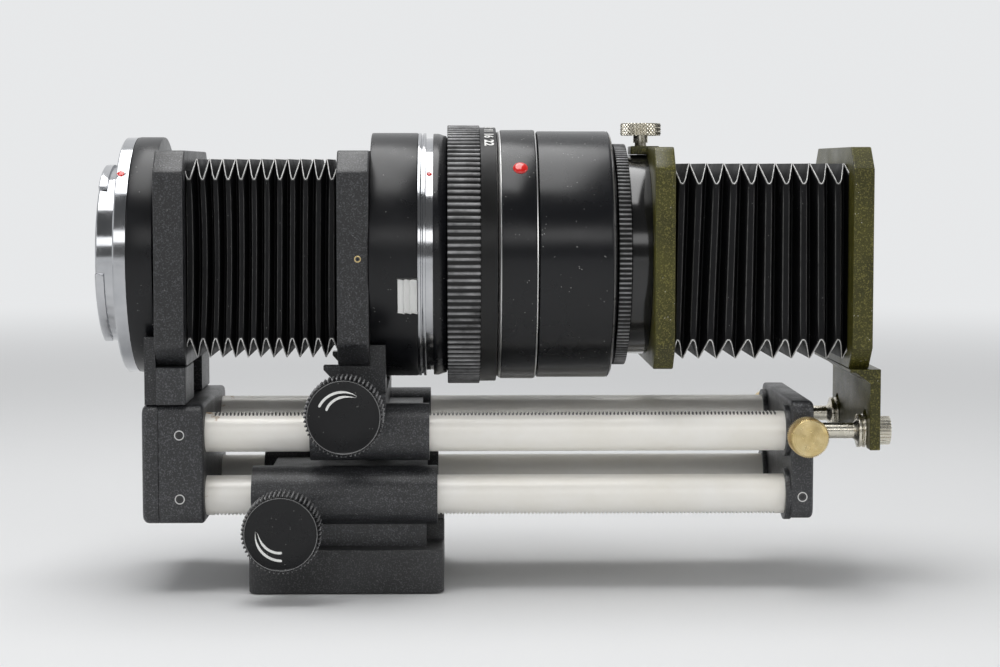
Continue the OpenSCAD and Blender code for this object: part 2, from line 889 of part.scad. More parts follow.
// Rear frame of the copier, with the tongue that holds the clamp screw
module copier_rear_frame() {
    color("#25251f")
    difference() {
        union() {
            slab(copier_x0, copier_x1)
                polygon(cut_rect(frame_w / 2, copier_z0, copier_z1, copier_cut));
            box([tongue_x - 2.9, -5.5, axis_z + neck_r + 0.1], [copier_x1 - 1.9, 5.5, copier_z1 + 0.4]);
        }
        cyl_x(spigot2_r, copier_x0 - 1, copier_x1 - 0.7, 0, axis_z);
        cyl_x(neck_in, copier_x0, copier_x1 + 1, 0, axis_z);
        cyl_z(lock_r + run_c, axis_z + neck_r - 1, copier_z1 + 2, tongue_x, 0);
    }
}

// Bellows between the copier's two frames
module front_bellows() {
    color("#151515")
    bellows(copier_x1, stage_x0, front_folds, bellows_w, front_bellows_h, axis_z - 1);
}

// Frame that holds the slide: a slot open on the far side, and a window
module stage_frame() {
    color("#25251f")
    difference() {
        slab(stage_x0, stage_x1)
            polygon(cut_rect(frame_w / 2, copier_z0 + 0.1, copier_z1, copier_cut));
        box([stage_x0 - 1, -18.5, copier_z - 12.5], [stage_x1 + 1, 18.5, copier_z + 12.5]);
        box([stage_x0 + 1.4, -25.3, copier_z - 25.3], [stage_x0 + 3.6, 40, copier_z + 25.3]);
        box([stage_x1 - 0.9, -23, copier_z - 19], [stage_x1 + 1, 23, copier_z + 19]);
    }
}

// Two flat springs that press the slide forward
module slide_springs() {
    color("#a8a8a8")
    for (s = [-1, 1])
        box([stage_x0 + 1.4, -20, copier_z + s * 18 - 2], [stage_x0 + 1.8, 20, copier_z + s * 18 + 2]);
}

// Opal screen that spreads the light behind the slide
module opal_diffuser() {
    color("#dcdcd6")
    box([stage_x1 - 0.9, -23, copier_z - 19], [stage_x1 - 0.1, 23, copier_z + 19]);
}

// Bent bracket that hangs the slide holder on the rods, open below each rod
module stage_bracket() {
    color("#1c1c1c")
    difference() {
        side_slab(-bracket_y, bracket_y)
            polygon([
                [stage_x0, copier_z0 + 0.1], [stage_x0, copier_z0 - 0.7], [stage_x0 + 1.3, copier_z0 - 0.7],
                [stage_x1, copier_z0 - 3.5], [stage_x1, upper_z - 4.2], [bracket_x1, upper_z - 4.2],
                [bracket_x1, copier_z0 + 0.1]
            ]);
        for (s = [-1, 1]) {
            cyl_x(rod_r + 0.6, stage_x1 - 1, bracket_x1 + 1, s * rail_y, upper_z + 2.8);
            box([stage_x1 - 1, s * rail_y - rod_r - 0.6, upper_z - 9.9],
                [bracket_x1 + 1, s * rail_y + rod_r + 0.6, upper_z + 2.8]);
        }
    }
}

// Two rods that slide in the upper rails, each with a collar behind the bracket
module copier_rods() {
    color("#b5b5b2")
    for (s = [-1, 1]) {
        cyl_x(rod_r, 45, bracket_x1 + 2.8, s * rail_y, upper_z);
        cyl_x(4.25, stage_x1 - 2, stage_x1, s * rail_y, upper_z);
    }
}

// Nuts that hold the bracket against the collars
module rod_nuts() {
    color("#b5b5b2")
    difference() {
        for (s = [-1, 1]) {
            cyl_x(4.25, bracket_x1, bracket_x1 + 0.5, s * rail_y, upper_z);
            translate([0, s * rail_y, upper_z])
                slab(bracket_x1 + 0.5, bracket_x1 + 3.6)
                    polygon(ridged(3.65, 0.3, 24));
        }
        for (s = [-1, 1])
            cyl_x(rod_r, bracket_x1 - 1, bracket_x1 + 2.8, s * rail_y, upper_z);
    }
}

// Pinion cut in the middle of its shaft
module pinion(x, z) {
    cyl_y(shaft_r, -42, -rail_y - pinion_len / 2, x, z);
    translate([x, 0, z])
        side_slab(-rail_y - pinion_len / 2, -rail_y + pinion_len / 2)
            polygon(pinion_outline());
    cyl_y(shaft_r, -rail_y + pinion_len / 2, -14, x, z);
}

// Focusing knob with a recessed face, pushed onto the pinion's shaft
module focus_knob(x, z) {
    difference() {
        union() {
            translate([x, 0, z])
                side_slab(-knob_y1 - knob_t + 0.7, -knob_y1 - 0.5)
                    polygon(ridged(knob_r, 0.45, knob_ridges));
            cyl_y(knob_r - 0.5, -knob_y1 - knob_t, -knob_y1, x, z);
        }
        cyl_y(knob_r - 1.25, -knob_y1 - knob_t - 1, -knob_y1 - knob_t + 0.35, x, z);
        cyl_y(shaft_r, -42, -knob_y1 + 1, x, z);
    }
}

// Pinion that drives the rails past the foot
module lower_pinion() {
    color("#9d9a92")
    pinion(lower_pinion_x, lower_pinion_z);
}

// Knob for the position of the whole bellows
module lower_focus_knob() {
    color("#1a1a1b")
    focus_knob(lower_pinion_x, lower_pinion_z);
}

// Pinion that drives the lens along the rails
module upper_pinion() {
    color("#9d9a92")
    pinion(upper_pinion_x, upper_pinion_z);
}

// Knob for the draw of the bellows
module upper_focus_knob() {
    color("#1a1a1b")
    focus_knob(upper_pinion_x, upper_pinion_z);
}

// Locking knob on the far side, whose stem presses on a rail
module lock_knob(x, z) {
    cyl_y(lock_r, rail_y + rail_r + run_c, 34, x, z);
    translate([x, 0, z])
        side_slab(33, 39)
            polygon(ridged(6, 0.4, 36));
    cyl_y(5.2, 32.5, 39.6, x, z);
}

// Lock of the lower carriage
module lower_lock_knob() {
    color("#1a1a1b")
    lock_knob(0, lower_z);
}

// Lock of the upper carriage
module upper_lock_knob() {
    color("#1a1a1b")
    lock_knob(upper_lock_x, upper_z);
}

// Screw on top that clamps the copier to its neck
module copier_clamp_screw() {
    color("#b9ae95")
    union() {
        cyl_z(lock_r, axis_z + neck_r + 0.1, head_z + 0.6, tongue_x, 0);
        translate([tongue_x, 0, head_z])
            linear_extrude(3.2)
                polygon(ridged(5.32, 0.35, 36));
    }
}

// Knurled screw in the end plate that clamps a rod
module rod_screw(s) {
    y_in = rail_y + rod_r + run_c;
    cyl_y(lock_r, min(s * y_in, s * 33), max(s * y_in, s * 33), plate_screw_x, upper_z);
    cyl_y(2.6, min(s * 27.3, s * 33), max(s * 27.3, s * 33), plate_screw_x, upper_z);
    translate([plate_screw_x, 0, upper_z])
        side_slab(min(s * 32.5, s * 37.6), max(s * 32.5, s * 37.6))
            polygon(ridged(4.9, 0.3, 32));
    cyl_y(4.4, min(s * 32, s * 38), max(s * 32, s * 38), plate_screw_x, upper_z);
}

// Rod screw on the near side
module near_rod_screw() {
    color("#b39a62")
    rod_screw(-1);
}

// Rod screw on the far side
module far_rod_screw() {
    color("#b39a62")
    rod_screw(1);
}

tripod_foot();
foot_screws();
lower_carriage();
lower_near_rail();
lower_far_rail();
upper_near_rail();
upper_far_rail();
rear_block();
block_cover();
rail_set_screws();
rear_column();
ring_guard();
rear_frame();
end_plate();
rear_bellows();
camera_ring();
ring_retainer();
camera_flange();
camera_bayonet();
flange_screws();
flange_index_dot();
upper_carriage();
lens_column();
lens_frame();
frame_screws();
mount_tube();
mount_flange();
lens_tail();
tail_index_dot();
lens_core();
index_ring();
lens_index_dot();
front_barrel();
front_glass();
rear_glass();
iris_blades();
adapter_ring();
copier_neck();
copier_rear_frame();
front_bellows();
aperture_ring();
release_catch();
stage_frame();
slide_springs();
opal_diffuser();
stage_bracket();
copier_rods();
rod_nuts();
lower_pinion();
lower_focus_knob();
upper_pinion();
upper_focus_knob();
lower_lock_knob();
upper_lock_knob();
copier_clamp_screw();
near_rod_screw();
far_rod_screw();
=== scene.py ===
# %% [markdown]
# # A macro bellows, dressed for the camera
#
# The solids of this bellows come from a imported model. This notebook keeps what is already right, and
# works out new surfaces with numpy where the eye stops, at rounded edges, ridged rings and folded cloth.
# Everything is in metres: X runs from the camera ring to the slide holder, Z is up, and the lens axis lies
# at Y = 0.

# %% Load the model
import bmesh
import bpy
import math
import numpy as np
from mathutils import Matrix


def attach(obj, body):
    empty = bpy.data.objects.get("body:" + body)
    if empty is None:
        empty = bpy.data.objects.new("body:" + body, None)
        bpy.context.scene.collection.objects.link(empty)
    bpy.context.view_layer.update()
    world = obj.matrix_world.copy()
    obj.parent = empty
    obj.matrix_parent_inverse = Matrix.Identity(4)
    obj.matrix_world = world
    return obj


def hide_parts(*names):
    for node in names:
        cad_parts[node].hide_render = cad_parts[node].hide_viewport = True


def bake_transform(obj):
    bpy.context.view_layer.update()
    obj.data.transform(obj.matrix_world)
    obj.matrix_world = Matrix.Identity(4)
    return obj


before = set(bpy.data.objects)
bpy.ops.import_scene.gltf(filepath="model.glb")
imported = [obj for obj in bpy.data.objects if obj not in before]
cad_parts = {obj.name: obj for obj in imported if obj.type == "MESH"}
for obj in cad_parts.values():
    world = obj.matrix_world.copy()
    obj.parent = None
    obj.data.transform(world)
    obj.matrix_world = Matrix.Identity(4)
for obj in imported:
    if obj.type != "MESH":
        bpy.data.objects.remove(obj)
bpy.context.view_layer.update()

# %% Sizes that several pieces share, in mm
MM = 0.001
AXIS = 83.7  # height of the lens axis above the foot
RAIL_Y, LOW_RAIL, HIGH_RAIL = 20.5, 23.9, 39.9  # the rails' distance from the middle, and their heights
SCREW_X = 114.2  # middle of the end plate, where its screws sit
LOWER_KNOB, UPPER_KNOB = (-15, 17.7), (0.3, 46.1)  # (X, Z) of the focusing knobs' axes


# %% [markdown]
# ## Helpers for node trees
#
# A finish in Blender is a tree of small nodes. A few short functions each add a node, set its numbers and
# link it in one line.

# %% Add a node
def wire(tree, kind, links=(), **values):
    """Adds a shader node; links are (input, socket or value) pairs, and values are inputs or settings."""
    node = tree.nodes.new("ShaderNode" + kind)
    for key, value in values.items():
        found = [s for s in node.inputs if s.name.lower() == key.replace("_", " ")]
        if found:
            found[0].default_value = value
        else:
            setattr(node, key, value)
    for target, source in links:
        if isinstance(source, bpy.types.NodeSocket):
            tree.links.new(source, node.inputs[target])
        else:
            node.inputs[target].default_value = source
    return node


def calc(tree, operation, a, b=0, **more):
    """The output of a Math node on two sockets or numbers."""
    return wire(tree, "Math", [(0, a), (1, b)], operation=operation, **more).outputs[0]


def spread(tree, source, low, high, to_low=0, to_high=1, **more):
    """Maps low to high onto to_low to to_high, and keeps the result within."""
    return wire(tree, "MapRange", [("Value", source)], from_min=low, from_max=high, to_min=to_low,
                to_max=to_high, **more).outputs[0]


def mix(tree, share, first, second):
    """The colour first where share is 0 and second where it is 1: each a socket, three numbers or a grey."""
    first, second = [c if isinstance(c, bpy.types.NodeSocket) else (*np.broadcast_to(c, 3), 1)
                     for c in (first, second)]
    return wire(tree, "Mix", [(0, share), (6, first), (7, second)], data_type="RGBA").outputs[2]


def here(tree):
    """A point in its object's own coordinates."""
    return wire(tree, "TexCoord").outputs["Object"]


def put(node, **values):
    """Sets inputs by name; an underscore stands for a blank."""
    for key, value in values.items():
        node.inputs[key.replace("_", " ")].default_value = value
    return node


def material(name, **values):
    """A new material, and numbers for its shader."""
    mat = bpy.data.materials.new(name)
    mat.use_nodes = True
    put(mat.node_tree.nodes["Principled BSDF"], **values)
    return mat


# %% [markdown]
# ## The camera
#
# From half a metre away the near knobs look larger than the far ones, so the distance matters as much as
# the angle. A long lens at 587 mm, a little above the lens axis, gives that look.

# %% Place the camera
lens = bpy.data.cameras.new("view")
lens.lens, lens.sensor_width = 81.4, 36
lens.clip_start, lens.clip_end = 0.01, 20
viewer = bpy.data.objects.new("view", lens)
viewer.location = (26.2 * MM, -587 * MM, 105.9 * MM)
viewer.rotation_euler = (math.radians(90 - 4.17), 0, math.radians(-1.25))
scene = bpy.context.scene
scene.collection.objects.link(viewer)
scene.camera = viewer


# %% [markdown]
# ## Soft light and a pale floor
#
# Black metal shows its shape only by what it mirrors, so wide, soft panels light it: one above, one from
# each side, and a low one in front. The floor is pale, and turns into the background's own colour further
# out, so that no horizon shows. The world is pale for what the camera, metal and glass see behind the
# object. It is dimmer for the light that it sheds, and for what metal sees overhead and on the camera's
# side: that keeps black faces black.

# %% Lamps
scene.view_settings.view_transform = "Standard"


def panel(name, place, aim, size, watts):
    """A rectangular lamp at place that faces aim."""
    data = bpy.data.lights.new(name, "AREA")
    data.shape = "RECTANGLE"
    data.size, data.size_y = size
    data.energy = watts
    lamp = bpy.data.objects.new(name, data)
    lamp.location = place
    way = np.array(aim) - np.array(place)
    flat = math.hypot(way[0], way[1])
    lamp.rotation_euler = (math.atan2(flat, -way[2]), 0, math.atan2(-way[0], way[1]))
    scene.collection.objects.link(lamp)


panel("panel_top", (-0.05, 0.02, 0.75), (0.03, 0, 0.07), (0.75, 0.42), 4.6)
panel("panel_left", (-0.85, -0.50, 0.40), (0.03, 0, 0.06), (0.5, 0.5), 1.6)
panel("panel_right", (0.90, -0.45, 0.35), (0.03, 0, 0.06), (0.4, 0.5), 1.8)
panel("panel_front", (0.05, -0.95, 0.42), (0.03, 0, 0.05), (0.9, 0.2), 1.3)

# %% World
PALE = (0.80, 0.81, 0.82, 1)
AMBIENT = 0.30  # strength of the light that the world sheds
AWAY = (0, 1, -0.6)  # metal sees the pale side of the studio this way, and the dark one opposite
world = bpy.data.worlds.new("studio")
scene.world = world
world.use_nodes = True
sky = world.node_tree
dim = put(sky.nodes["Background"], Color=PALE, Strength=AMBIENT)
ray = wire(sky, "LightPath")
back = wire(sky, "VectorMath", [(0, wire(sky, "TexCoord").outputs["Generated"]), (1, AWAY)],
    operation="DOT_PRODUCT")
overhead = spread(sky, back.outputs["Value"], -0.5, 0.3, 0.16, 1)
level = calc(sky, "MAXIMUM", overhead, ray.outputs["Is Camera Ray"])
pale_sky = wire(sky, "Background", [("Strength", level)], color=PALE)
seen = calc(sky, "MAXIMUM", ray.outputs["Is Camera Ray"], ray.outputs["Is Glossy Ray"])
shown = calc(sky, "MAXIMUM", seen, ray.outputs["Is Transmission Ray"])
pick = wire(sky, "MixShader", [(0, shown), (1, dim.outputs[0]), (2, pale_sky.outputs[0])])
sky.links.new(pick.outputs[0], sky.nodes["World Output"].inputs["Surface"])

# %% Floor
FADE = (0.22, 1.25)  # the floor turns into the background between these distances
bpy.ops.mesh.primitive_plane_add(size=12, location=(0, 0, -0.0002))
floor = bpy.context.object
floor.name = "floor"
pale = material("pale_floor", Base_Color=(0.79, 0.795, 0.80, 1), Roughness=0.9, Specular_IOR_Level=0.2)
tree = pale.node_tree
away = wire(tree, "VectorMath", [(0, here(tree))], operation="LENGTH")
fade = spread(tree, away.outputs["Value"], *FADE, interpolation_type="SMOOTHSTEP")
glow = wire(tree, "Emission", color=PALE)
matt = tree.nodes["Principled BSDF"]
blend = wire(tree, "MixShader", [(0, fade), (1, matt.outputs[0]), (2, glow.outputs[0])])
tree.links.new(blend.outputs[0], tree.nodes["Material Output"].inputs["Surface"])
floor.data.materials.append(pale)


# %% [markdown]
# ## Effects that several finishes share
#
# Wrinkle paint, cast metal and cloth are finely uneven, and old metal also carries faint blotches and
# specks. Each effect is a node group with named sockets, so that a finish only states its own scale and
# amount. A group gives out numbers; the shader stays in the material.

# %% Start a node group, and use one
def effect(name, inputs, output):
    """A group with float inputs (name, default) and one float output: its tree, inputs and result."""
    tree = bpy.data.node_groups.new(name, "ShaderNodeTree")
    for label, default in inputs:
        socket = tree.interface.new_socket(label, in_out="INPUT", socket_type="NodeSocketFloat")
        socket.default_value = default
    tree.interface.new_socket(output, in_out="OUTPUT", socket_type="NodeSocketFloat")
    return tree, tree.nodes.new("NodeGroupInput").outputs, tree.nodes.new("NodeGroupOutput").inputs[0]


def use(tree, group, **values):
    """The output of an effect group placed in a material."""
    node = tree.nodes.new("ShaderNodeGroup")
    node.node_tree = group
    return put(node, **values).outputs[0]


# %% Grain: two sizes of noise, for a height
grain, given, result = effect("fine_grain", [("Scale", 2500), ("Coarse Share", 0.3)], "Height")
fine = wire(grain, "TexNoise", [("Vector", here(grain)), ("Scale", given["Scale"])], detail=3, roughness=0.6)
third = calc(grain, "MULTIPLY", given["Scale"], 0.28)
coarse = wire(grain, "TexNoise", [("Vector", here(grain)), ("Scale", third)], detail=2, roughness=0.5)
both = wire(grain, "Mix", [(0, given["Coarse Share"]), (2, fine.outputs[0]), (3, coarse.outputs[0])],
    data_type="FLOAT")
grain.links.new(both.outputs[0], result)

# %% Blotches: soft clouds that shift colour and gloss
cloud, given, result = effect("soft_blotches", [("Scale", 60), ("Low", 0), ("High", 1)], "Value")
puff = wire(cloud, "TexNoise", [("Vector", here(cloud)), ("Scale", given["Scale"])], detail=4, roughness=0.6)
span = wire(cloud, "MapRange", [(0, puff.outputs[0]), ("To Min", given["Low"]), ("To Max", given["High"])],
    from_min=0.3, from_max=0.7)
cloud.links.new(span.outputs[0], result)

# %% Specks: sparse pale grains
speck, given, result = effect("dust_specks", [("Scale", 900), ("Size", 0.12), ("Amount", 1)], "Mask")
cells = wire(speck, "TexVoronoi", [("Vector", here(speck)), ("Scale", given["Scale"])])
near = calc(speck, "LESS_THAN", cells.outputs["Distance"], given["Size"])
sift = wire(speck, "TexNoise", [("Vector", here(speck))], scale=400, detail=1)
rare = calc(speck, "GREATER_THAN", sift.outputs[0], 0.62)
some = calc(speck, "MULTIPLY", near, rare)
speck.links.new(calc(speck, "MULTIPLY", some, given["Amount"]), result)

# %% Turning marks: fine rings round the lens axis
rings, given, result = effect("turning_marks", [("Scale", 3000)], "Height")
apart = wire(rings, "SeparateXYZ", [(0, here(rings))])
along = calc(rings, "MULTIPLY", apart.outputs["X"], given["Scale"])
lines = wire(rings, "TexNoise", [("W", along)], noise_dimensions="1D", detail=2, scale=1)
rings.links.new(lines.outputs[0], result)
print("effects:", [g.name for g in bpy.data.node_groups])


# %% [markdown]
# ## Finishes
#
# Each finish is one function call: a colour that drifts between two tones, a roughness that drifts too, a
# grain for the bump, and specks. On wrinkle paint the tips of the grain are rubbed paler. Only what changes
# over the surface is linked.

# %% One function for a finish
TIPS = (0.52, 0.62)  # heights of the grain between which a tip turns paler
SPECK = dict(Scale=1100, Size=0.16)


def finish_of(name, dark, light, rough, bump=0, bump_mm=0.02, grain_scale=2500, coarse=0.3, metallic=0,
              specks=0, blotch=60, coat=0, specular=0.5, marks=0, speck_tone=(0.30, 0.30, 0.29),
              mottle=None):
    """A finish whose colour runs from dark to light and roughness over the pair rough, in clouds."""
    mat = material(name, Metallic=metallic, Coat_Weight=coat, Coat_Roughness=0.15, Specular_IOR_Level=specular)
    tree = mat.node_tree
    shader = tree.nodes["Principled BSDF"].inputs
    colour = mix(tree, use(tree, cloud, Scale=blotch), dark, light)
    if mottle:
        tops = spread(tree, use(tree, grain, Scale=grain_scale, Coarse_Share=0.12), *TIPS)
        colour = mix(tree, tops, colour, mottle)
    if specks:
        colour = mix(tree, use(tree, speck, Amount=specks, **SPECK), colour, speck_tone)
    tree.links.new(colour, shader["Base Color"])
    tree.links.new(use(tree, cloud, Scale=blotch * 2.3, Low=rough[0], High=rough[1]), shader["Roughness"])
    if bump or marks:
        height = (use(tree, rings, Scale=marks) if marks
                  else use(tree, grain, Scale=grain_scale, Coarse_Share=coarse))
        raised = put(wire(tree, "Bump", [("Height", height)]), Strength=bump, Distance=bump_mm * MM)
        tree.links.new(raised.outputs[0], shader["Normal"])
    return mat


# %% The object's finishes
WRINKLED = dict(bump=1, bump_mm=0.09, grain_scale=2700, coarse=0.15, specks=0.4, specular=0.65)
wrinkle = finish_of("wrinkle_black", (0.006, 0.006, 0.007), (0.011, 0.0115, 0.0125), (0.32, 0.44),
    mottle=(0.060, 0.062, 0.067), **WRINKLED)
block_paint = finish_of("wrinkle_block", (0.014, 0.0145, 0.016), (0.024, 0.0245, 0.027), (0.34, 0.46),
    mottle=(0.085, 0.088, 0.094), **WRINKLED)
satin = finish_of("satin_black", (0.004, 0.004, 0.005), (0.007, 0.0075, 0.009), (0.26, 0.34), bump=0.3,
    bump_mm=0.03, grain_scale=3500, specks=0.5, specular=0.35)
foot_paint = finish_of("foot_black", (0.022, 0.0222, 0.023), (0.036, 0.0365, 0.038), (0.42, 0.56), bump=0.6,
    bump_mm=0.04, grain_scale=2600, specks=0.3, specular=0.45, mottle=(0.075, 0.076, 0.078))
lens_black = finish_of("lens_black", (0.003, 0.0033, 0.0042), (0.006, 0.0065, 0.0085), (0.22, 0.30), bump=0.25,
    grain_scale=4200, specks=0.6, specular=0.4, blotch=35)
ridge_black = finish_of("ridge_black", 0.005, 0.010, (0.30, 0.40), bump=0.3, grain_scale=3000, specular=0.35)
neck_black = finish_of("neck_black", 0.004, 0.007, (0.10, 0.16), coat=0.4, bump=0.05, marks=2500)
# Black paint with an olive tint painted into its colour as a reflection of warm light
reflection_tinted_black = finish_of("black_with_painted_reflection_tint", (0.020, 0.019, 0.003), (0.072, 0.067, 0.011), (0.30, 0.42), bump=0.9,
    bump_mm=0.06, grain_scale=2800, specks=0.8, specular=0.35, speck_tone=(0.45, 0.44, 0.38),
    blotch=45, mottle=(0.155, 0.142, 0.036))
knob_black = finish_of("knob_black", (0.004, 0.004, 0.005), (0.007, 0.0072, 0.008), (0.24, 0.32), bump=0.15,
    grain_scale=3500, specks=0.3, specular=0.35)
chrome = finish_of("mirror_chrome", (0.42, 0.43, 0.45), (0.56, 0.565, 0.58), (0.09, 0.17), metallic=1,
    blotch=90, bump=0.08, marks=2600)
satin_steel = finish_of("satin_steel", (0.66, 0.66, 0.65), (0.80, 0.80, 0.78), (0.28, 0.38), metallic=1)
rim_grey = finish_of("rim_grey", 0.16, 0.26, (0.25, 0.35), metallic=0.6, blotch=160)
dark_steel = finish_of("dark_steel", 0.06, 0.10, (0.30, 0.42), metallic=1)
brass = finish_of("turned_brass", (0.62, 0.46, 0.19), (0.88, 0.72, 0.40), (0.26, 0.34), metallic=1,
    blotch=260)
nickel = finish_of("pale_nickel", (0.66, 0.62, 0.52), (0.78, 0.75, 0.66), (0.22, 0.32), metallic=1,
    blotch=200)
cloth = finish_of("bellows_cloth", (0.003, 0.003, 0.0035), (0.007, 0.007, 0.008), (0.46, 0.60), bump=0.5,
    bump_mm=0.03, grain_scale=3800, specks=0.25, specular=0.18)
red = finish_of("index_red", (0.60, 0.012, 0.010), (0.72, 0.020, 0.014), (0.12, 0.20), blotch=300, coat=0.6)
white_paint = finish_of("white_paint", (0.72, 0.72, 0.70), (0.84, 0.84, 0.82), (0.40, 0.55), blotch=500)
opal = finish_of("opal_sheet", (0.74, 0.74, 0.70), (0.82, 0.82, 0.78), (0.35, 0.45), blotch=40)
glass = material("coated_glass", Base_Color=(0.75, 0.80, 0.90, 1), Roughness=0.03, Transmission_Weight=0.85,
    IOR=1.5)

# %% [markdown]
# The cloth of old bellows is rubbed pale where it folds outwards, and fingers polish the tips of ridges.
# That pale tone is partly wear and partly a painted highlight on the edges and tips. The points of such a
# piece carry a number called crease, 1 on an edge and 0 beside it, and the finish turns paler with it, more
# in some places than in others.
#
# The rings that a tool left on the face of a screw come from noise over the distance from the screw's axis.
# They are far finer than a pixel, so they spread a lamp's light across themselves. The shader's anisotropic
# setting does that; a quarter turn lays the spread from the middle outwards.

# %% Rubbed edges with a painted highlight, and tool rings on brass
def overlay(mat, share, tone):
    """Lays tone over a finish's colour where share is 1."""
    colour = mat.node_tree.nodes["Principled BSDF"].inputs["Base Color"]
    mat.node_tree.links.new(mix(mat.node_tree, share, colour.links[0].from_socket, tone), colour)


def wear_and_highlight(mat, tone, low, high, patch):
    """Lays tone over by the crease number times a cloud that runs from low to high: wear and a painted
    highlight.
    """
    tree = mat.node_tree
    mark = wire(tree, "Attribute", attribute_name="crease").outputs["Fac"]
    rub_and_sheen = use(tree, cloud, Scale=patch, Low=low, High=high)
    overlay(mat, calc(tree, "MULTIPLY", mark, rub_and_sheen, use_clamp=True), tone)


# Pale bellows edges and pale ridge tips on lens rings and knobs: wear, and a painted highlight
wear_and_highlight(cloth, (0.74, 0.735, 0.72), 0.55, 1.15, 700)
wear_and_highlight(ridge_black, (0.34, 0.34, 0.345), 0.15, 1.1, 160)
wear_and_highlight(knob_black, (0.30, 0.30, 0.305), 0.3, 1.1, 200)

tree = brass.node_tree
shader = put(tree.nodes["Principled BSDF"], Anisotropic=0.85, Anisotropic_Rotation=0.25)
flat = put(wire(tree, "Mapping", [("Vector", here(tree))]), Location=(-SCREW_X * MM, 0, -HIGH_RAIL * MM),
    Scale=(1, 0, 1))
far = wire(tree, "VectorMath", [(0, flat.outputs[0])], operation="LENGTH")
tool = wire(tree, "TexNoise", [("W", far.outputs["Value"])], noise_dimensions="1D", scale=3600, detail=2)
cut = put(wire(tree, "Bump", [("Height", tool.outputs[0])]), Strength=0.7, Distance=0.12 * MM)
tree.links.new(cut.outputs[0], shader.inputs["Normal"])
about = wire(tree, "Tangent", direction_type="RADIAL", axis="Y")
tree.links.new(about.outputs[0], shader.inputs["Tangent"])

# %% [markdown]
# ## The rails
#
# The rails are nickelled, warm in tone and satin, so they spread a lamp into a wide band. One small brown
# stain sits on top near the rear block; noise and two ramps keep it there. The gaps of the racks are darkened
# in colour as painted shade: a point lies in a gap where it is nearer to the rail's axis than the rail's own
# surface, on the outer tenth of its height. Both near rails share the sum, worked out from their middle height.

# %% Nickel with a stain, and painted shade in the rack gaps
rail_nickel = finish_of("rail_nickel", (0.90, 0.87, 0.80), (0.95, 0.93, 0.885), (0.34, 0.42), metallic=0.12,
    blotch=70, bump=0.05, bump_mm=0.01, grain_scale=5000)
tree = rail_nickel.node_tree
x, y, z = wire(tree, "SeparateXYZ", [(0, here(tree))]).outputs
left = spread(tree, x, -0.036, -0.024, 0.40, -0.30)
top = spread(tree, z, 0.040, 0.0455, -0.5, 0)
stained = calc(tree, "ADD", calc(tree, "ADD", left, use(tree, cloud, Scale=420)), top)
overlay(rail_nickel, spread(tree, stained, 0.72, 1.05), (0.42, 0.24, 0.085))

GAP_RADIUS, GAP_HEIGHT = 4.88, 4.15  # a gap is nearer to the rail's axis, and higher, than this in mm
rise = calc(tree, "ABSOLUTE", calc(tree, "SUBTRACT", z, (LOW_RAIL + HIGH_RAIL) / 2 * MM))
rise = calc(tree, "SUBTRACT", rise, (HIGH_RAIL - LOW_RAIL) / 2 * MM)
side = calc(tree, "ADD", y, RAIL_Y * MM)
across = wire(tree, "CombineXYZ", [(0, side), (1, rise)])
reach = wire(tree, "VectorMath", [(0, across.outputs[0])], operation="LENGTH").outputs["Value"]
# Painted shade: the gaps of the near racks are darkened in colour
gap_shade = calc(tree, "MULTIPLY", calc(tree, "LESS_THAN", reach, GAP_RADIUS * MM),
    calc(tree, "GREATER_THAN", rise, GAP_HEIGHT * MM))
overlay(rail_nickel, gap_shade, (0.035, 0.030, 0.024))

# %% A finish for every solid
finishes = {
    wrinkle: "ring_guard rear_frame lens_column lens_frame",
    block_paint: "lower_carriage rear_block block_cover rear_column end_plate upper_carriage",
    foot_paint: "tripod_foot",
    rail_nickel: "lower_near_rail lower_far_rail upper_near_rail upper_far_rail",
    satin: "camera_ring ring_retainer mount_tube iris_blades",
    lens_black: "lens_core index_ring front_barrel",
    ridge_black: "aperture_ring adapter_ring",
    neck_black: "copier_neck",
    reflection_tinted_black: "copier_rear_frame stage_frame stage_bracket",
    chrome: "camera_flange camera_bayonet mount_flange lens_tail",
    nickel: "copier_clamp_screw copier_rods rod_nuts",
    satin_steel: "release_catch flange_screws foot_screws slide_springs lower_pinion upper_pinion",
    dark_steel: "rail_set_screws frame_screws",
    red: "flange_index_dot tail_index_dot lens_index_dot",
    knob_black: "lower_focus_knob upper_focus_knob lower_lock_knob upper_lock_knob",
    brass: "near_rod_screw far_rod_screw",
    cloth: "rear_bellows front_bellows",
    glass: "front_glass rear_glass",
    opal: "opal_diffuser",
}
for mat, names in finishes.items():
    for name in names.split():
        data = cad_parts[name].data
        data.materials.clear()
        data.materials.append(mat)
print("dressed:", len(" ".join(finishes.values()).split()), "of", len(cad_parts))


# %% [markdown]
# ## Surfaces from grids
#
# Every new piece is a grid of points, closed into a tube or by two end faces. One helper turns it into a
# mesh whose faces look outwards, and another sets the piece on the body it moves with.

# %% From arrays to a mesh
def place(name, mesh, mat, body=None, node=None):
    """An object at the origin that rides on a body and stands for a CAD node."""
    mesh.materials.append(mat)
    piece = bpy.data.objects.new(name, mesh)
    scene.collection.objects.link(piece)
    if body:
        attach(piece, body)
    if node:
        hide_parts(node)
    print(name, "points:", len(mesh.vertices))
    return piece


def make(name, shape, mat, body, node=None, sharp=40):
    """A piece from (points in mm, faces), whose faces are all turned to look outwards."""
    verts, faces = shape
    mesh = bpy.data.meshes.new(name)
    mesh.from_pydata((verts * MM).tolist(), [], [list(map(int, f)) for f in faces])
    work = bmesh.new()
    work.from_mesh(mesh)
    bmesh.ops.recalc_face_normals(work, faces=work.faces)
    work.to_mesh(mesh)
    work.free()
    mesh.shade_smooth()
    mesh.set_sharp_from_angle(angle=math.radians(sharp))
    return place(name, mesh, mat, body, node)


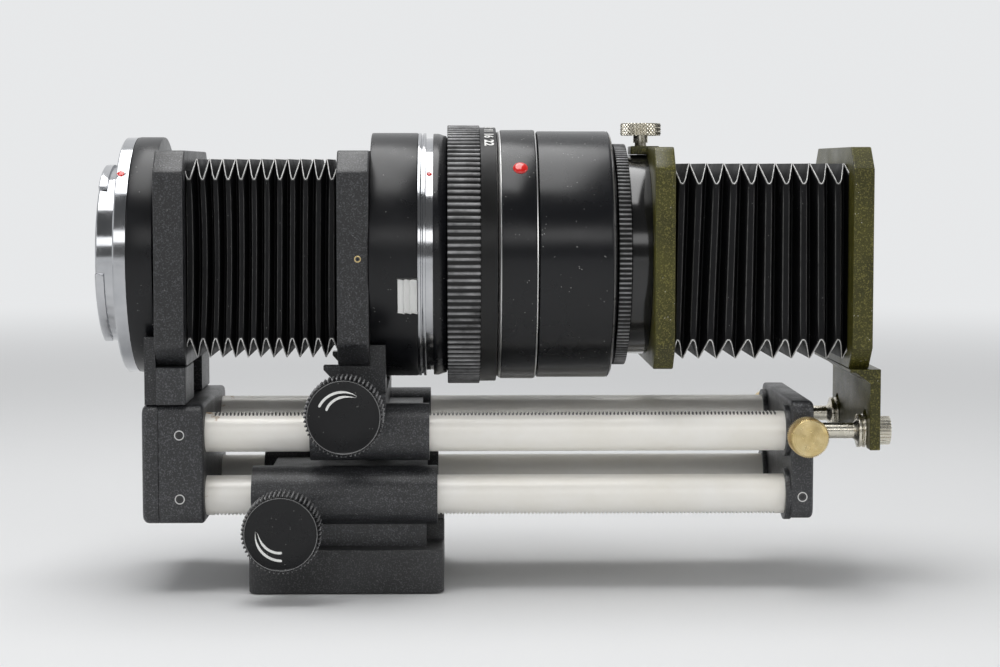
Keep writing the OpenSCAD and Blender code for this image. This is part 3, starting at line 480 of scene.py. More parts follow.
def grid(rows, cols, wrap_rows=True, wrap_cols=True):
    """Quads over a grid of points, closed round either way."""
    i, j = np.indices((rows - (not wrap_rows), cols - (not wrap_cols))).reshape(2, -1)
    i2, j2 = (i + 1) % rows, (j + 1) % cols
    return np.stack([i * cols + j, i2 * cols + j, i2 * cols + j2, i * cols + j2], axis=1)


def capped(rows, cols):
    """The quads of an open tube and a face over each end."""
    ends = [np.arange(cols), (np.arange(cols) + (rows - 1) * cols)[::-1]]
    return list(grid(rows, cols, wrap_rows=False)) + ends


def angles(n):
    """n angles round a full turn."""
    return np.arange(n) * 2 * np.pi / n


def join(*parts):
    """Several shapes as one."""
    first = np.cumsum([0] + [len(verts) for verts, _ in parts])
    faces = [[int(i) + start for i in f] for (_, quads), start in zip(parts, first) for f in quads]
    return np.vstack([verts for verts, _ in parts]), faces


# %% [markdown]
# A machined edge is never sharp. `soften` replaces each corner of an outline by a small quadratic curve,
# which catches a thin line of light.

# %% Round the corners of an outline
def soften(outline, radius, steps=3, shut=True):
    """Each corner p becomes (1-t)^2 a + 2t(1-t) p + t^2 b, where a and b lie radius away along its sides.
    An open outline (shut=False) keeps its two end points."""
    p = np.asarray(outline, float)
    before, ahead = np.roll(p, 1, 0) - p, np.roll(p, -1, 0) - p
    lb, la = np.linalg.norm(before, axis=1), np.linalg.norm(ahead, axis=1)
    cut = np.minimum(radius, 0.45 * np.minimum(lb, la))
    if not shut:
        cut[[0, -1]] = 0
    a, b = p + before * (cut / lb)[:, None], p + ahead * (cut / la)[:, None]
    t = np.linspace(0, 1, steps)[None, :, None]
    curve = ((1 - t) ** 2 * a[:, None] + 2 * t * (1 - t) * p[:, None] + t ** 2 * b[:, None]).reshape(-1, 2)
    return curve[np.linalg.norm(curve - np.roll(curve, 1, 0), axis=1) > 1e-6]


# %% [markdown]
# ## Turned rings
#
# The lens is a stack of turned rings. Each is one closed profile of (x, radius) carried round the
# axis; ridges are a ripple in the radius that only the outer points of the profile follow.

# %% Carry a profile round an axis
def turn(profile, n=192, ripple=None, centre=(0, AXIS), rippled=None, shut=True):
    """Points (x, r cos a, r sin a) for n angles a; r gains ripple(a, x) times rippled. A closed profile makes
    a ring, and an open one (shut=False) a solid body with a disc at each end."""
    p = np.asarray(profile, float)
    a = angles(n)
    r = p[:, 1, None] + np.zeros((1, n))
    if ripple:
        r = r + rippled(p)[:, None] * ripple(a[None, :], p[:, :1])
    x = np.broadcast_to(p[:, 0, None], r.shape)
    verts = np.stack([x, centre[0] - r * np.cos(a), centre[1] + r * np.sin(a)], axis=2).reshape(-1, 3)
    return verts, grid(len(p), n) if shut else capped(len(p), n)


def ring(name, profile, mat, node=None, body="lens_standard", radius=0.25, sharp=40, **kw):
    """A turned ring with softened profile corners."""
    return make(name, turn(soften(profile, radius), **kw), mat, body, node, sharp)


def teeth(count, depth, flat=0.45):
    """A ripple with count ridges: a squared-off cosine, flat on top and depth deep."""
    return lambda a, x: depth * (np.tanh((np.cos(count * a) + (flat - 0.5) * 2) * 3) - 1) / 2 + 0 * x


def knurl(count, depth, pitch):
    """A ripple of small pyramids: the lesser of two triangle waves that run round to either hand."""
    def tri(u):
        return 1 - 2 * np.abs(u - np.floor(u) - 0.5)

    def wave(a, x):
        u, v = count * a / (2 * np.pi), x / pitch
        return depth * (np.minimum(tri(u + v), tri(u - v)) - 1)
    return wave


def tips(piece, u, v, ways, depth=0.2):
    """Crease numbers of a turned piece: (r - r_max + depth) / (0.6 depth) kept between 0 and 1, where r is the
    distance from the axis through (u, v) in mm and ways are its two coordinates."""
    points = np.empty(len(piece.data.vertices) * 3)
    piece.data.vertices.foreach_get("co", points)
    across = points.reshape(-1, 3)[:, ways] / MM - (u, v)
    r = np.hypot(across[:, 0], across[:, 1])
    crease = np.clip((r - r.max() + depth) / (0.6 * depth), 0, 1)
    piece.data.attributes.new("crease", "FLOAT", "POINT").data.foreach_set("value", crease)


# %% The lens barrel: profiles in (x, radius)
RIDGES, FINE_RIDGES = 120, 144  # on the aperture ring and on the adapter
grip = ring("lens_grip", [(25.4, 30.05), (25.4, 33.4), (33.6, 33.4), (33.6, 32.8), (37.8, 32.8), (37.8, 30.05)],
    ridge_black, "aperture_ring", "aperture_ring", 0.3, 50, n=RIDGES * 10,
    ripple=teeth(RIDGES, 0.62), rippled=lambda p: (p[:, 1] > 32.85) & (p[:, 0] < 33.65))
tips(grip, 0, AXIS, [1, 2])
ring("lens_core_barrel", [(21.8, 22), (21.8, 31.2), (23.2, 31.2), (25.25, 30.5), (25.25, 30), (66, 30),
    (66, 26), (24.4, 26), (24.4, 22)], lens_black, "lens_core")
ring("lens_front_barrel", [(48.2, 30), (48.2, 31.85), (66.4, 31.85), (67.2, 30.9), (67.2, 25),
    (66, 25), (66, 30)], lens_black, "front_barrel", radius=0.5)
grip = ring("adapter_grip", [(65.6, 21.5), (65.6, 25), (68, 25), (68, 28.6), (71.1, 28.6),
    (71.1, 21.5)], ridge_black, "adapter_ring", radius=0.2, sharp=50,
    n=FINE_RIDGES * 8, ripple=teeth(FINE_RIDGES, 0.45), rippled=lambda p: p[:, 1] > 28)
tips(grip, 0, AXIS, [1, 2])

# %% [markdown]
# The bright lines beside the index ring and round the front are polished chamfers. Each is a narrow cone
# of its own in bare metal, set against its black band.

# %% Index ring and the polished edges
ring("index_band", [(38.9, 30), (38.9, 32.15), (47.5, 32.2), (47.5, 30)], lens_black, "index_ring")
ring("bright_edge", [(38, 30), (38, 31.55), (38.85, 32.05), (38.85, 30)], satin_steel, radius=0.08)
ring("band_edge", [(47.55, 30), (47.55, 32.15), (47.85, 31.95), (47.85, 30)], satin_steel, radius=0.05)
ring("front_edge", [(66.5, 30), (66.5, 31.84), (66.95, 31.28), (66.95, 30)], rim_grey, radius=0.05)

# %% Mount tube, camera ring and neck
ring("mount_tube_skin", [(6, 22), (6, 31.4), (18, 31.4), (18, 27), (8, 27), (8, 22)],
     satin, "mount_tube", radius=0.4)
ring("camera_ring_skin", [(-53.8, 18), (-53.8, 30.3), (-47.2, 30.3), (-47.2, 20.55), (-40.9, 20.55),
    (-40.9, 18)], satin, "camera_ring", "camera_ring", radius=0.5)
ring("neck_skin", [(71.1, 21), (71.1, 25.8), (76.7, 25.8), (76.7, 23.5), (81, 23.5), (81, 21)],
     neck_black, "copier_neck", radius=0.2)
ring("mount_flange_skin", [(18, 24), (18, 31.4), (18.75, 31.4), (18.85, 30.9), (19.2, 30.9), (19.3, 31.4),
    (20, 31.4), (20, 24)], chrome, "mount_flange", radius=0.12)


# %% [markdown]
# ## Frames and blocks
#
# The standards are plates with cut corners and a round opening, and the blocks have rounded corners.
# Both are an outline carried from one face to the other; at a rounded rim its points step inwards along
# their own normals. Flat ends close a block.

# %% Outlines, and how they are carried
def cut_corners(y, z0, z1, c):
    """Rectangle from -y to y and z0 to z1 with its corners cut by c."""
    return np.array([(-y + c, z0), (y - c, z0), (y, z0 + c), (y, z1 - c),
                     (y - c, z1), (-y + c, z1), (-y, z1 - c), (-y, z0 + c)])


def box_outline(y0, y1, z0, z1):
    """Plain rectangle."""
    return np.array([(y0, z0), (y1, z0), (y1, z1), (y0, z1)], float)


def inward(outline, step):
    """Moves each point by step along the mean normal of its two sides, to the left of the path."""
    ahead = np.roll(outline, -1, 0) - outline
    side = np.stack([-ahead[:, 1], ahead[:, 0]], axis=1) / np.linalg.norm(ahead, axis=1)[:, None]
    mean = side + np.roll(side, 1, 0)
    mean /= np.maximum((mean ** 2).sum(1) / 2, 0.25)[:, None]
    return outline + mean * step


def lay(points, x, plane="x"):
    """Outline points at depth x: plane "x" is (Y, Z) at X, and "z" is (X, Y) at Z."""
    u, v = points[:, 0], points[:, 1]
    w = np.full(len(points), float(x))
    return np.stack([w, u, v] if plane == "x" else [u, v, w], axis=1)


def rounded(edge, x0, x1, r0, r1, steps, plane="x"):
    """Layers of an outline from depth x0 to x1. At a rim of radius r, and for angles q of a quarter turn, a
    layer lies r (1 - sin q) deep and its points step r (1 - cos q) inwards."""
    t = np.linspace(0, np.pi / 2, steps)
    stops = [(x0 + r0 * (1 - np.sin(q)), r0 * (1 - np.cos(q))) for q in t[::-1]]
    stops += [(x1 - r1 * (1 - np.sin(q)), r1 * (1 - np.cos(q))) for q in t]
    return [lay(inward(edge, s), x, plane) for x, s in stops]


def block(outline, x0, x1, rim=0.35, plane="x", corner=0):
    """A solid between two depths from the layers of rounded; rim is the radius of its rims, or a pair."""
    r0, r1 = np.broadcast_to(rim, 2)
    edge = soften(outline, corner, 6) if corner > 0 else soften(outline, max(r0, r1), 3)
    layers = rounded(edge, x0, x1, r0, r1, 5, plane)
    return np.vstack(layers), capped(len(layers), len(edge))


def plate(outer, x0, x1, hole, mid=(0, AXIS), rim=0.35, n=240):
    """A plate with a round hole about mid. Its outline is read at n angles: a ray d from mid meets the side
    from p to q at the distance (p - mid) x (q - p) / d x (q - p)."""
    a = angles(n)
    d = np.stack([np.cos(a), np.sin(a)], axis=1)

    def cross(m, k):
        return m[:, 0] * k[:, 1] - m[:, 1] * k[:, 0]

    def at_angle(outline):
        shut = np.vstack([outline, outline[:1]])
        ang = np.unwrap(np.arctan2(shut[:, 1] - mid[1], shut[:, 0] - mid[0]))
        far = np.interp(ang[0] + (a - ang[0]) % (2 * np.pi), ang, np.arange(len(ang)))
        i = np.minimum(far.astype(int), len(outline) - 1)
        p, q = shut[i] - mid, shut[i + 1] - mid
        return d * (cross(p, q - p) / cross(d, q - p))[:, None] + mid

    mouth = mid + hole * d
    layers = rounded(at_angle(soften(outer, rim * 1.5, 4)), x0, x1, rim, rim, 4)
    layers = [lay(mouth, x0)] + layers + [lay(mouth, x1)]
    return np.vstack(layers), grid(len(layers), n)


# %% The four standards
standard = cut_corners(30.5, 56.8, 110.4, 5.6)
make("rear_standard", plate(standard, -46.9, -39.5, 20.6), wrinkle, "rail_frame", "rear_frame", 35)
make("lens_standard_plate", plate(standard, -1.9, 6, 22), wrinkle, "lens_standard", "lens_frame", 35)
make("copier_back_plate", plate(cut_corners(30.5, 55.9, 111.3, 5.4), 76.7, 81.7, 23.5, mid=(0, 83.6)), reflection_tinted_black,
     "lens_standard", "copier_rear_frame", 35)
make("copier_tongue", block(box_outline(-5.5, 5.5, 109.6, 111.7), 72.5, 79.8, rim=0.3), reflection_tinted_black, "lens_standard")

# %% Blocks, foot and end plate
end = box_outline(-28, 28, 17.5, 47.4)
make("rear_block_body", block(end, -46.42, -35.2, rim=(0.2, 0.9), corner=3.4), block_paint, "rail_frame",
     "rear_block", 35)
make("block_cover_plate", block(end, -50.6, -46.44, rim=(1.5, 0.2), corner=3.4), block_paint, "rail_frame",
     "block_cover", 35)
collar = soften([(110.1, 5), (110.1, 6.5), (112, 6.5), (112, 5)], 0.3)
collars = [turn(collar, n=72, centre=(s * RAIL_Y, z)) for s in (-1, 1) for z in (LOW_RAIL, HIGH_RAIL)]
make("rail_end_plate", join(block(box_outline(-27, 27, 18.2, 47.9), 111.3, 117, rim=(0.6, 1.1), corner=3.2),
    *collars), block_paint, "rail_frame", "end_plate", 35)
make("foot_block", join(
    block(box_outline(-24.4, 24.4, -28, 28), 0, 11, rim=0.5, plane="z", corner=3),
    block(box_outline(-24.4, 24.4, -12, 12), 10, 16.5, rim=0.4, plane="z")), foot_paint, "base",
    "tripod_foot", 35)


# %% [markdown]
# ## Folded bellows
#
# Bellows of this kind have side folds that stand out where the top folds lie in, and the corners zig-zag
# between them. A section across is therefore a rectangle whose half width and half height swing in
# opposite phase. A side crest is a flat about 1 mm wide, because the cloth is glued over a stiff strip,
# and the valleys between are sharp and deep. Old folds also bow and lean.

# %% The fold and its rows
STEPS = np.array([0, 0.03, 0.12, 0.21, 0.30, 0.335, 0.37, 0.40, 0.45, 0.5, 0.55, 0.60, 0.63, 0.665, 0.70,
    0.79, 0.88, 0.97])  # where the rows of one fold lie


def off_crest(k):
    """Distance of fold number k from the middle of its side crest, which lies at 0.5, 1.5, ..."""
    return np.abs(k - np.floor(k) - 0.5)


def pleat(k):
    """Height of the side folds at fold number k: 1 on a crest, 0 at whole numbers."""
    return np.interp(off_crest(k), [0, 0.13, 0.165, 0.20, 0.47, 0.5], [1, 1, 0.985, 0.92, 0, 0])


def dip(k):
    """Depth of the top folds at fold number k: the same, but round where a side crest is flat."""
    return np.interp(off_crest(k), [0, 0.05, 0.10, 0.15, 0.20, 0.47, 0.5],
                     [1, 0.985, 0.93, 0.84, 0.72, 0.01, 0])


def welt(path, out, r=0.13, sides=6):
    """The pale edge of a corner, rubbed and also painted as a highlight: path + r (cos q w + sin q m) for
    angles q, where w points out of the corner and m is square to both w and the path."""
    w = np.array(out, float) / math.sqrt(2)
    m = np.cross(np.gradient(path, axis=0), w)
    m /= np.linalg.norm(m, axis=1)[:, None]
    q = angles(sides)[None, :, None]
    verts = path[:, None] + r * (np.cos(q) * w + np.sin(q) * m[:, None])
    return verts.reshape(-1, 3), capped(len(path), sides)


# %% The whole bellows
# The band at each corner and the thin lines beside the side crests are pale: wear and a painted highlight
CORNER = [(1.3, 0, 0), (0.9, 0, 0.1), (0.25, 0, 0.7), (0.06, 0.06, 1), (0, 0.25, 0.7), (0, 0.9, 0.1),
          (0, 1.3, 0)]
FLAT = 8  # points between two corners
THIN = 0.12  # width of the rubbed band on the side faces, in mm


def bellows(x0, x1, start, stop, half_w, half_h, mid_z, bow, lean, depth=5, wall=0.5, part=None):
    """Rows along X between fold numbers start and stop, or the two in part; each is a rectangle of half sizes
    s = half_w - depth (1 - pleat) and t = half_h - depth dip. CORNER gives the points before and after each
    corner as shares of the pale band, and how pale they are: rubbed, and painted as a highlight. A row shifts
    along X by bow (1 - v^2) + lean (1 - v) / 2, where v runs from -1 at the bottom to 1 at the top. Returns
    points and faces, and the crease number of each point."""
    first, last = part or (start, stop)
    u = (np.arange(math.floor(first), math.ceil(last) + 1)[:, None] + STEPS).ravel()
    u = np.concatenate([[first], u[(u > first + 0.01) & (u < last - 0.01)], [last]])
    x = x0 + (x1 - x0) * (u - start) / (stop - start)
    s, t = half_w - depth * (1 - pleat(u)), half_h - depth * dip(u)
    off = off_crest(u)
    line = ((off > 0.15) & (off < 0.19)) * 0.16
    band = np.minimum(0.24 * np.sqrt(1 + np.gradient(t, x) ** 2), 1.5)  # 0.24 mm wide across the zig-zag
    thin = np.full(len(u), THIN)
    ways = np.array([(1, 0), (0, 1), (-1, 0), (0, -1)], float)
    size = FLAT - 1 + len(CORNER)

    def shell(inset):
        corners, rubbed_and_lit = [], []
        for i, (sy, sz) in enumerate([(1, -1), (1, 1), (-1, 1), (-1, -1)]):
            corner = np.stack([sy * (s - inset), sz * (t - inset)], axis=1)
            come, go = (thin, band) if i in (0, 2) else (band, thin)
            corners.append([corner - (come * before)[:, None] * ways[i]
                            + (go * after)[:, None] * ways[(i + 1) % 4] for before, after, _ in CORNER])
            rubbed_and_lit += [np.full(len(u), float(rub_and_sheen)) for _, _, rub_and_sheen in CORNER]
            rubbed_and_lit += [line if i in (0, 2) else line * 0] * (FLAT - 1)
        cols = []
        for i in range(4):
            p, q = corners[i][-1], corners[(i + 1) % 4][0]
            cols += corners[i] + [p + (q - p) * j / FLAT for j in range(1, FLAT)]
        yz = np.stack(cols, axis=1)
        v = yz[:, :, 1] / half_h
        shift = np.interp(u, *bow)[:, None] * (1 - v ** 2) + np.interp(u, *lean)[:, None] * (1 - v) / 2
        return np.dstack([x[:, None] + shift, yz[:, :, 0], yz[:, :, 1] + mid_z]), np.stack(rubbed_and_lit, axis=1)

    (outer, rubbed_and_lit), (inner, _) = shell(0), shell(wall)
    sheet = np.concatenate([outer, inner[::-1]])
    outs = [(0, 1, -1), (0, 1, 1), (0, -1, 1), (0, -1, -1)]
    welts = [welt(outer[:, i * size + len(CORNER) // 2], out) for i, out in enumerate(outs)]
    crease = np.concatenate([rubbed_and_lit.ravel(), np.zeros(rubbed_and_lit.size), np.ones(sum(len(w[0]) for w in welts))])
    return join((sheet.reshape(-1, 3), grid(*sheet.shape[:2])), *welts), crease


def folded(name, ends, node, *args, **kw):
    """A bellows that stretches between two ends; ends, each a body and its X in mm, is not used."""
    shape, crease = bellows(*args, **kw)
    piece = make(name, shape, cloth, None, node, sharp=28)
    piece.data.attributes.new("crease", "FLOAT", "POINT").data.foreach_set("value", crease)
    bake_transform(piece)


# %% The back bellows, 12 folds
BACK = (-39.5, -1.9)
BOW = ([0.25, 0.5, 1.5, 3, 6, 9, 11.5, 11.86], [0, 0.55, 0.9, 0.55, 0.25, -0.1, -0.25, 0])
LEAN = ([0.25, 0.5, 3, 6.5, 9.5, 11.5, 11.86], [0, -0.2, -0.35, -0.6, -0.45, -0.4, 0])
folded("back_bellows", [("rail_frame", BACK[0]), ("lens_standard", BACK[1])], "rear_bellows",
       *BACK, 0.25, 11.86, 25, 24.8, 83.5, BOW, LEAN)

# %% [markdown]
# The front bellows hangs between two pieces that each slide by themselves. It is made in two lengths that
# meet at a crest. The lengths are in the ratio of the two travels.

# %% The front bellows, 10 folds in two lengths
FRONT = (81.7, 125.7)
SPLIT, FOLDS = 6.5, 10.2
BOW = ([0, FOLDS], [0, 0])
LEAN = ([0, 0.5, 1.5, 2.5, 3.5, 4.5, 5.5, 7, 8.5, 9.5, FOLDS],
        [0, -1.2, -1.7, -1.7, -1.4, -0.7, -0.2, 0.2, 0.6, 0.5, 0])
meet = FRONT[0] + (FRONT[1] - FRONT[0]) * SPLIT / FOLDS
for name, part, ends in (
        ("copy_bellows_left", (0, SPLIT), [("lens_standard", FRONT[0]), ("rail_frame", meet)]),
        ("copy_bellows_right", (SPLIT, FOLDS), [("rail_frame", meet), ("copier_stage", FRONT[1])])):
    folded(name, ends, "front_bellows", *FRONT, 0, FOLDS, 25, 24.5, 82.7, BOW, LEAN, part=part)
print("the lengths meet at", round(meet, 1), "mm")


# %% [markdown]
# ## Knobs
#
# A focusing knob is a turned body with pointed ridges, and a thin polished rim round a disc that lies a
# little lower. It is turned about Y, so its points are those of a turned piece with the axes exchanged.

# %% Turn about an axis that runs along Y or Z
def knob(profile, centre, along="y", radius=0.25, shut=False, **kw):
    """A profile of (depth, radius) carried round a Y or Z axis through centre: the points of turn, with its
    X as the depth along that axis."""
    verts, faces = turn(soften(profile, radius, shut=shut), centre=(0, 0), shut=shut, **kw)
    order, move = ([1, 0, 2], (centre[0], 0, centre[1])) if along == "y" else ([1, 2, 0], (*centre, 0))
    return verts[:, order] + move, faces


def focus_knob(name, centre, body, node, ridges=54):
    """A ridged body with a chamfer, a rim, and a disc 0.25 mm below it."""
    profile = [(-42, 0.8), (-42, 2), (-35, 2), (-35, 9), (-35.6, 9.75), (-44.3, 9.75), (-45, 9.15),
               (-45, 8.72), (-44.75, 8.6), (-44.75, 4), (-44.75, 0.8)]
    shape = knob(profile, centre, n=ridges * 12, ripple=teeth(ridges, 0.62, 0.40), radius=0.12,
                 rippled=lambda p: np.clip((p[:, 1] - 9) / 0.6, 0, 1))
    tips(make(name, shape, knob_black, body, node, sharp=50), *centre, [0, 2])
    rim = [(-44.8, 8.74), (-44.8, 8.94), (-45.03, 8.94), (-45.03, 8.74)]
    make(name + "_rim", knob(rim, centre, n=180, radius=0.05, shut=True), rim_grey, body)


focus_knob("lower_knob_body", LOWER_KNOB, "lower_knob", "lower_focus_knob")
focus_knob("upper_knob_body", UPPER_KNOB, "upper_knob", "upper_focus_knob")


# %% [markdown]
# The clamp screws in the end plate are turned brass with ridged edges, and the one on top is nickelled and
# knurled. A knurl is a band of small pyramids, each the lesser of two waves that run round the head to
# either hand.

# %% Clamp screws and lock knobs
def grip_screw(name, y_in, y_out, x, z, r, mat, body, node, count, tip, stem=1.5):
    """A stem from tip and a ridged head about a Y axis; y_out is the outer face."""
    s = 1 if y_out > y_in else -1
    profile = [(tip, 0.6), (tip, stem), (y_in - s * 1.2, stem), (y_in - s * 1.2, 2.6), (y_in, 2.6),
               (y_in, r - 0.5), (y_in + s * 0.5, r), (y_out - s * 0.5, r), (y_out, r - 0.55), (y_out, 0.6)]
    shape = knob(profile, (x, z), n=count * 8, ripple=teeth(count, 0.3), radius=0.12,
                 rippled=lambda p: np.clip((p[:, 1] - r + 0.5) / 0.4, 0, 1))
    make(name, shape, mat, body, node, sharp=50)


for side, s in (("near", -1), ("far", 1)):
    grip_screw(side + "_rod_thumb", s * 32, s * 38, SCREW_X, HIGH_RAIL, 4.9, brass, side + "_rod_clamp",
               side + "_rod_screw", 64, s * 22.55)
for rail, x, z in (("lower", 0, LOW_RAIL), ("upper", 6, HIGH_RAIL)):
    grip_screw(rail + "_lock_grip", 32.8, 39.6, x, z, 6, knob_black, rail + "_lock", rail + "_lock_knob", 36,
               25.55)

profile = [(109.6, 0.5), (109.6, 1.5), (112.6, 1.5), (112.6, 1.9), (114.4, 1.9), (114.4, 5)]
profile += [(z, 5.32) for z in np.linspace(114.6, 117.4, 15)] + [(117.6, 5), (117.6, 0.5)]
head = knob(profile, (75.4, 0), along="z", n=384, ripple=knurl(32, 0.45, 1), radius=0.02,
    rippled=lambda p: p[:, 1] > 5.2)
make("copier_thumb", head, nickel, "copier_clamp", "copier_clamp_screw", 60)


# %% [markdown]
# Small screws sit in the sides of the blocks. Each is a polished rim that stands a little proud of a dark
# face with a hexagonal socket; the socket is a flat black hexagon, painted shade for the inside of its hole.

# %% Screws in the side faces
def side_screw(name, x, z, face, r, hole, rim_mat, body, node):
    """Rims, faces and sockets at Y = face and -face."""
    def pair(inner, outer, sunk, proud, **kw):
        return join(*[knob([(s * (face - sunk), inner), (s * (face - sunk), outer), (s * (face + proud), outer),
                            (s * (face + proud), inner)], (x, z), **kw) for s in (-1, 1)])

    make(name + "_rim", pair(hole, r, 0.3, 0.08, n=48, radius=0.05, shut=True), rim_mat, body, node)
    make(name + "_face", pair(0.2, hole, 0.3, 0.03, n=48, radius=0), dark_steel, body)
    # The socket's black is painted shade: it is a flat hexagon, not a hole
    make(name + "_socket", pair(0.1, hole * 0.6, 0.2, 0.05, n=6, radius=0), neck_black, body)


side_screw("frame_pin", 3.3, AXIS, 30.5, 0.85, 0.55, brass, "lens_standard", "frame_screws")
for name, *spot in (("block_screw_low", -41.2, LOW_RAIL, 28), ("block_screw_high", -41.2, HIGH_RAIL, 28),
                    ("plate_screw", SCREW_X, LOW_RAIL, 27)):
    side_screw(name, *spot, 1.25, 0.98, satin_steel, "rail_frame", "rail_set_screws")


# %% [markdown]
# The slide holder hangs on two nickelled rods. Each has a collar with a groove behind the bracket, and a
# ridged nut in front of it.

# %% Rods and nuts
rod = [(45, 0.3), (45, 2), (127.8, 2), (128.8, 2.9), (128.8, 4.25), (129.6, 4.25), (129.75, 3.9),
       (130, 3.9), (130.15, 4.25), (130.8, 4.25), (130.8, 2), (136.2, 2), (136.2, 0.3)]
nut = [(133.4, 2.05), (133.4, 4.25), (133.9, 4.25), (134, 3.65), (137, 3.65), (137, 2.05)]
sides = [(s * RAIL_Y, HIGH_RAIL) for s in (-1, 1)]
make("slide_rods", join(*[turn(soften(rod, 0.12, shut=False), n=96, centre=c, shut=False) for c in sides]),
     nickel, "copier_stage", "copier_rods")
make("slide_nuts", join(*[turn(soften(nut, 0.15), n=240, centre=c, ripple=teeth(24, 0.3, 0.55),
    rippled=lambda p: (p[:, 1] > 3.2) & (p[:, 0] > 133.95)) for c in sides]),
     nickel, "copier_stage", "rod_nuts", 50)


# %% [markdown]
# The catch that frees the lens has three scooped steps for a fingertip. Its section is drawn flat, carried
# from its lower to its upper end, and turned about the lens axis to its place on the tube.

# %% Release catch
CATCH_ANGLE = math.radians(16.6)  # below the height of the lens axis
STEP, RISE = 1.6, 0.75  # length and height of a step, in mm
u = np.linspace(0, 1, 7)
scoops = [np.stack([13.1 + STEP * (k + u), -31.85 - RISE * u ** 2.2], axis=1) for k in range(3)]
section = np.vstack([*scoops, [(17.9, -30.1), (13.1, -30.1)]])[::-1]
verts, faces = block(section, -4.45, 4.45, rim=0.15, plane="z")
x, y, z = verts.T
c, s = math.cos(CATCH_ANGLE), math.sin(CATCH_ANGLE)
verts = np.stack([x, y * c - z * s, AXIS + z * c + y * s], axis=1)
make("catch_steps", (verts, faces), satin_steel, "release_catch", "release_catch", 30)


# %% [markdown]
# ## Castings with softened edges
#
# Carriages, columns and brackets are odd shapes whose solids are already right, so each is copied from
# its solid: the loose triangles are merged, flat neighbours become one face, and a narrow bevel rounds
# what is left of the sharp edges.

# %% A copy of a solid with rounded edges
SHARP = math.radians(40)


def rounded_copy(node, mat, body, width):
    """The node's own mesh, merged, with its sharp edges rounded over width mm."""
    name = node + "_rounded"
    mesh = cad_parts[node].data.copy()
    mesh.name = name
    work = bmesh.new()
    work.from_mesh(mesh)
    bmesh.ops.remove_doubles(work, verts=work.verts, dist=2e-6)
    bmesh.ops.dissolve_limit(work, angle_limit=math.radians(0.6), verts=work.verts, edges=work.edges)
    work.to_mesh(mesh)
    work.free()
    mesh.materials.clear()
    mesh.shade_smooth()
    mesh.set_sharp_from_angle(angle=SHARP)
    piece = place(name, mesh, mat, body, node)
    rim = piece.modifiers.new("rim", "BEVEL")
    rim.width, rim.segments = width * MM, 2
    rim.limit_method, rim.angle_limit = "ANGLE", SHARP
    rim.harden_normals = True


for node, mat, body, width in [
        ("lower_carriage", block_paint, "base", 0.4), ("upper_carriage", block_paint, "lens_standard", 0.4),
        ("lens_column", wrinkle, "lens_standard", 0.35), ("rear_column", block_paint, "rail_frame", 0.4),
        ("ring_guard", wrinkle, "rail_frame", 0.25), ("stage_bracket", reflection_tinted_black, "copier_stage", 0.2),
        ("stage_frame", reflection_tinted_black, "copier_stage", 0.35), ("camera_flange", chrome, "camera_ring", 0.12),
        ("camera_bayonet", chrome, "camera_ring", 0.12), ("lens_tail", chrome, "lens_standard", 0.12)]:
    rounded_copy(node, mat, body, width)


# %% [markdown]
# ## Dots, numbers and marks
#
# The index dots are drops of red enamel, so they are shallow domes. The aperture numbers are painted, a
# twentieth of a millimetre thick, and run round their band with their feet towards the camera, so that
# they read from behind it.

# %% Domes
def dome(name, x, r_at, radius, rise, body, node, n=48, m=10):
    """A cap 44 degrees up from the near side: radius*sin(t) wide, rise*cos(t) high, on a short skirt."""
    t = np.linspace(0.001, np.pi / 2, m)
    out = np.concatenate([radius * np.sin(t), [radius, 0.001]])
    high = np.concatenate([rise * np.cos(t), [-0.5, -0.5]])
    a, g = angles(n), math.radians(44)
    u, v, h = out[:, None] * np.cos(a), out[:, None] * np.sin(a), r_at + high[:, None]
    y, z = v * math.sin(g) - h * math.cos(g), h * math.sin(g) + v * math.cos(g)
    verts = np.stack([x + u, y, AXIS + z], axis=2)
    make(name, (verts.reshape(-1, 3), capped(len(out), n)), red, body, node)


dome("index_dome", 43.6, 32.1, 1.9, 0.75, "lens_standard", "lens_index_dot")
dome("flange_dome", -55.7, 30, 1.1, 0.35, "camera_ring", "flange_index_dot")
dome("tail_dome", 20.9, 29.8, 0.8, 0.35, "lens_standard", "tail_index_dot")


# %% Numbers wrapped round a ring
def words(text, size):
    """A flat mesh of the text in mm, centred: points (u, v) and faces."""
    curve = bpy.data.curves.new("words", "FONT")
    curve.body, curve.size = text, size
    curve.align_x, curve.align_y = "CENTER", "CENTER"
    curve.resolution_u, curve.offset = 3, 0.10
    holder = bpy.data.objects.new("words", curve)
    scene.collection.objects.link(holder)
    flat = holder.to_mesh()
    points = np.array([v.co for v in flat.vertices])
    faces = [list(f.vertices) for f in flat.polygons]
    holder.to_mesh_clear()
    bpy.data.objects.remove(holder)
    bpy.data.curves.remove(curve)
    return points[:, :2], faces


def wrap_number(text, x, r, angle, size):
    """A point (u, v) goes to x + v along the axis and angle - u / r round it, at radius r."""
    flat, faces = words(text, size)
    a = math.radians(angle) - flat[:, 0] / r
    return np.stack([x + flat[:, 1], -r * np.cos(a), AXIS + r * np.sin(a)], axis=1), faces


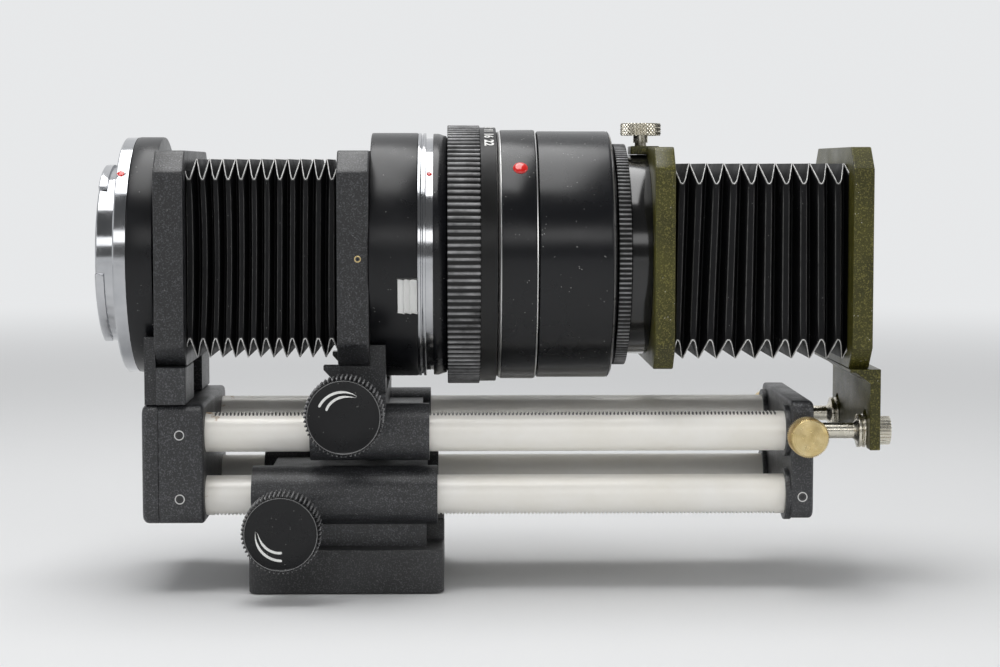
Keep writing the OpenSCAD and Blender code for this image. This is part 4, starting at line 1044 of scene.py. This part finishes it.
BAND_RADIUS = 32.8
FIRST_ANGLE, SPACING = 61, 7.7  # degrees up from the near side, and between two numbers
stops = ["22", "16", "11", "8", "5.6", "4", "2.8", "1.4"]
verts, faces = join(*[wrap_number(text, 35.8, BAND_RADIUS + 0.06, FIRST_ANGLE + SPACING * i, 3.2)
    for i, text in enumerate(stops)])
mesh = bpy.data.meshes.new("aperture_numbers")
mesh.from_pydata((verts * MM).tolist(), [], faces)
numbers = place("aperture_numbers", mesh, white_paint, "aperture_ring")
coat = numbers.modifiers.new("paint", "SOLIDIFY")
coat.thickness, coat.offset = 0.05 * MM, 0
print("numbers:", stops)


# %% [markdown]
# Each focusing knob carries two painted arcs that meet at a tip. A stroke is a band along a path whose
# radius changes with the angle, and whose width grows from nothing at the tip.

# %% Knob marks
FACE_Y = -44.8  # just in front of the knob's disc


def stroke(centre, tip, sweep, r_tip, r_tail, power, half=0.31, n=48):
    """Along s from 0 to 1: angle tip + sweep s, radius r_tip + (r_tail - r_tip) s^power, half width to half."""
    s = np.linspace(0, 1, n)
    a = np.radians(tip + sweep * s)
    r = r_tip + (r_tail - r_tip) * s ** power
    w = half * np.minimum(np.minimum(1, (s + 0.01) / 0.4), np.sqrt(np.clip((1.005 - s) / 0.03, 0.05, 1)))
    inner, outer = [np.stack([centre[0] + (r + k * w) * np.cos(a), np.full(n, FACE_Y),
                              centre[1] + (r + k * w) * np.sin(a)], axis=1) for k in (-1, 1)]
    under = np.array([0, 0.06, 0])
    layers = np.stack([inner, outer, outer + under, inner + under])
    ends = [[k * n for k in (3, 2, 1, 0)], [k * n + n - 1 for k in range(4)]]
    return layers.reshape(-1, 3), list(grid(4, n, wrap_cols=False)) + ends


for body, centre, tip in (("lower_knob", LOWER_KNOB, 173), ("upper_knob", UPPER_KNOB, 57)):
    arcs = join(stroke(centre, tip, 100, 6.1, 6.4, 1.5), stroke(centre, tip, 101, 6.1, 4.45, 0.35))
    make(body + "_marks", arcs, white_paint, body, sharp=30)
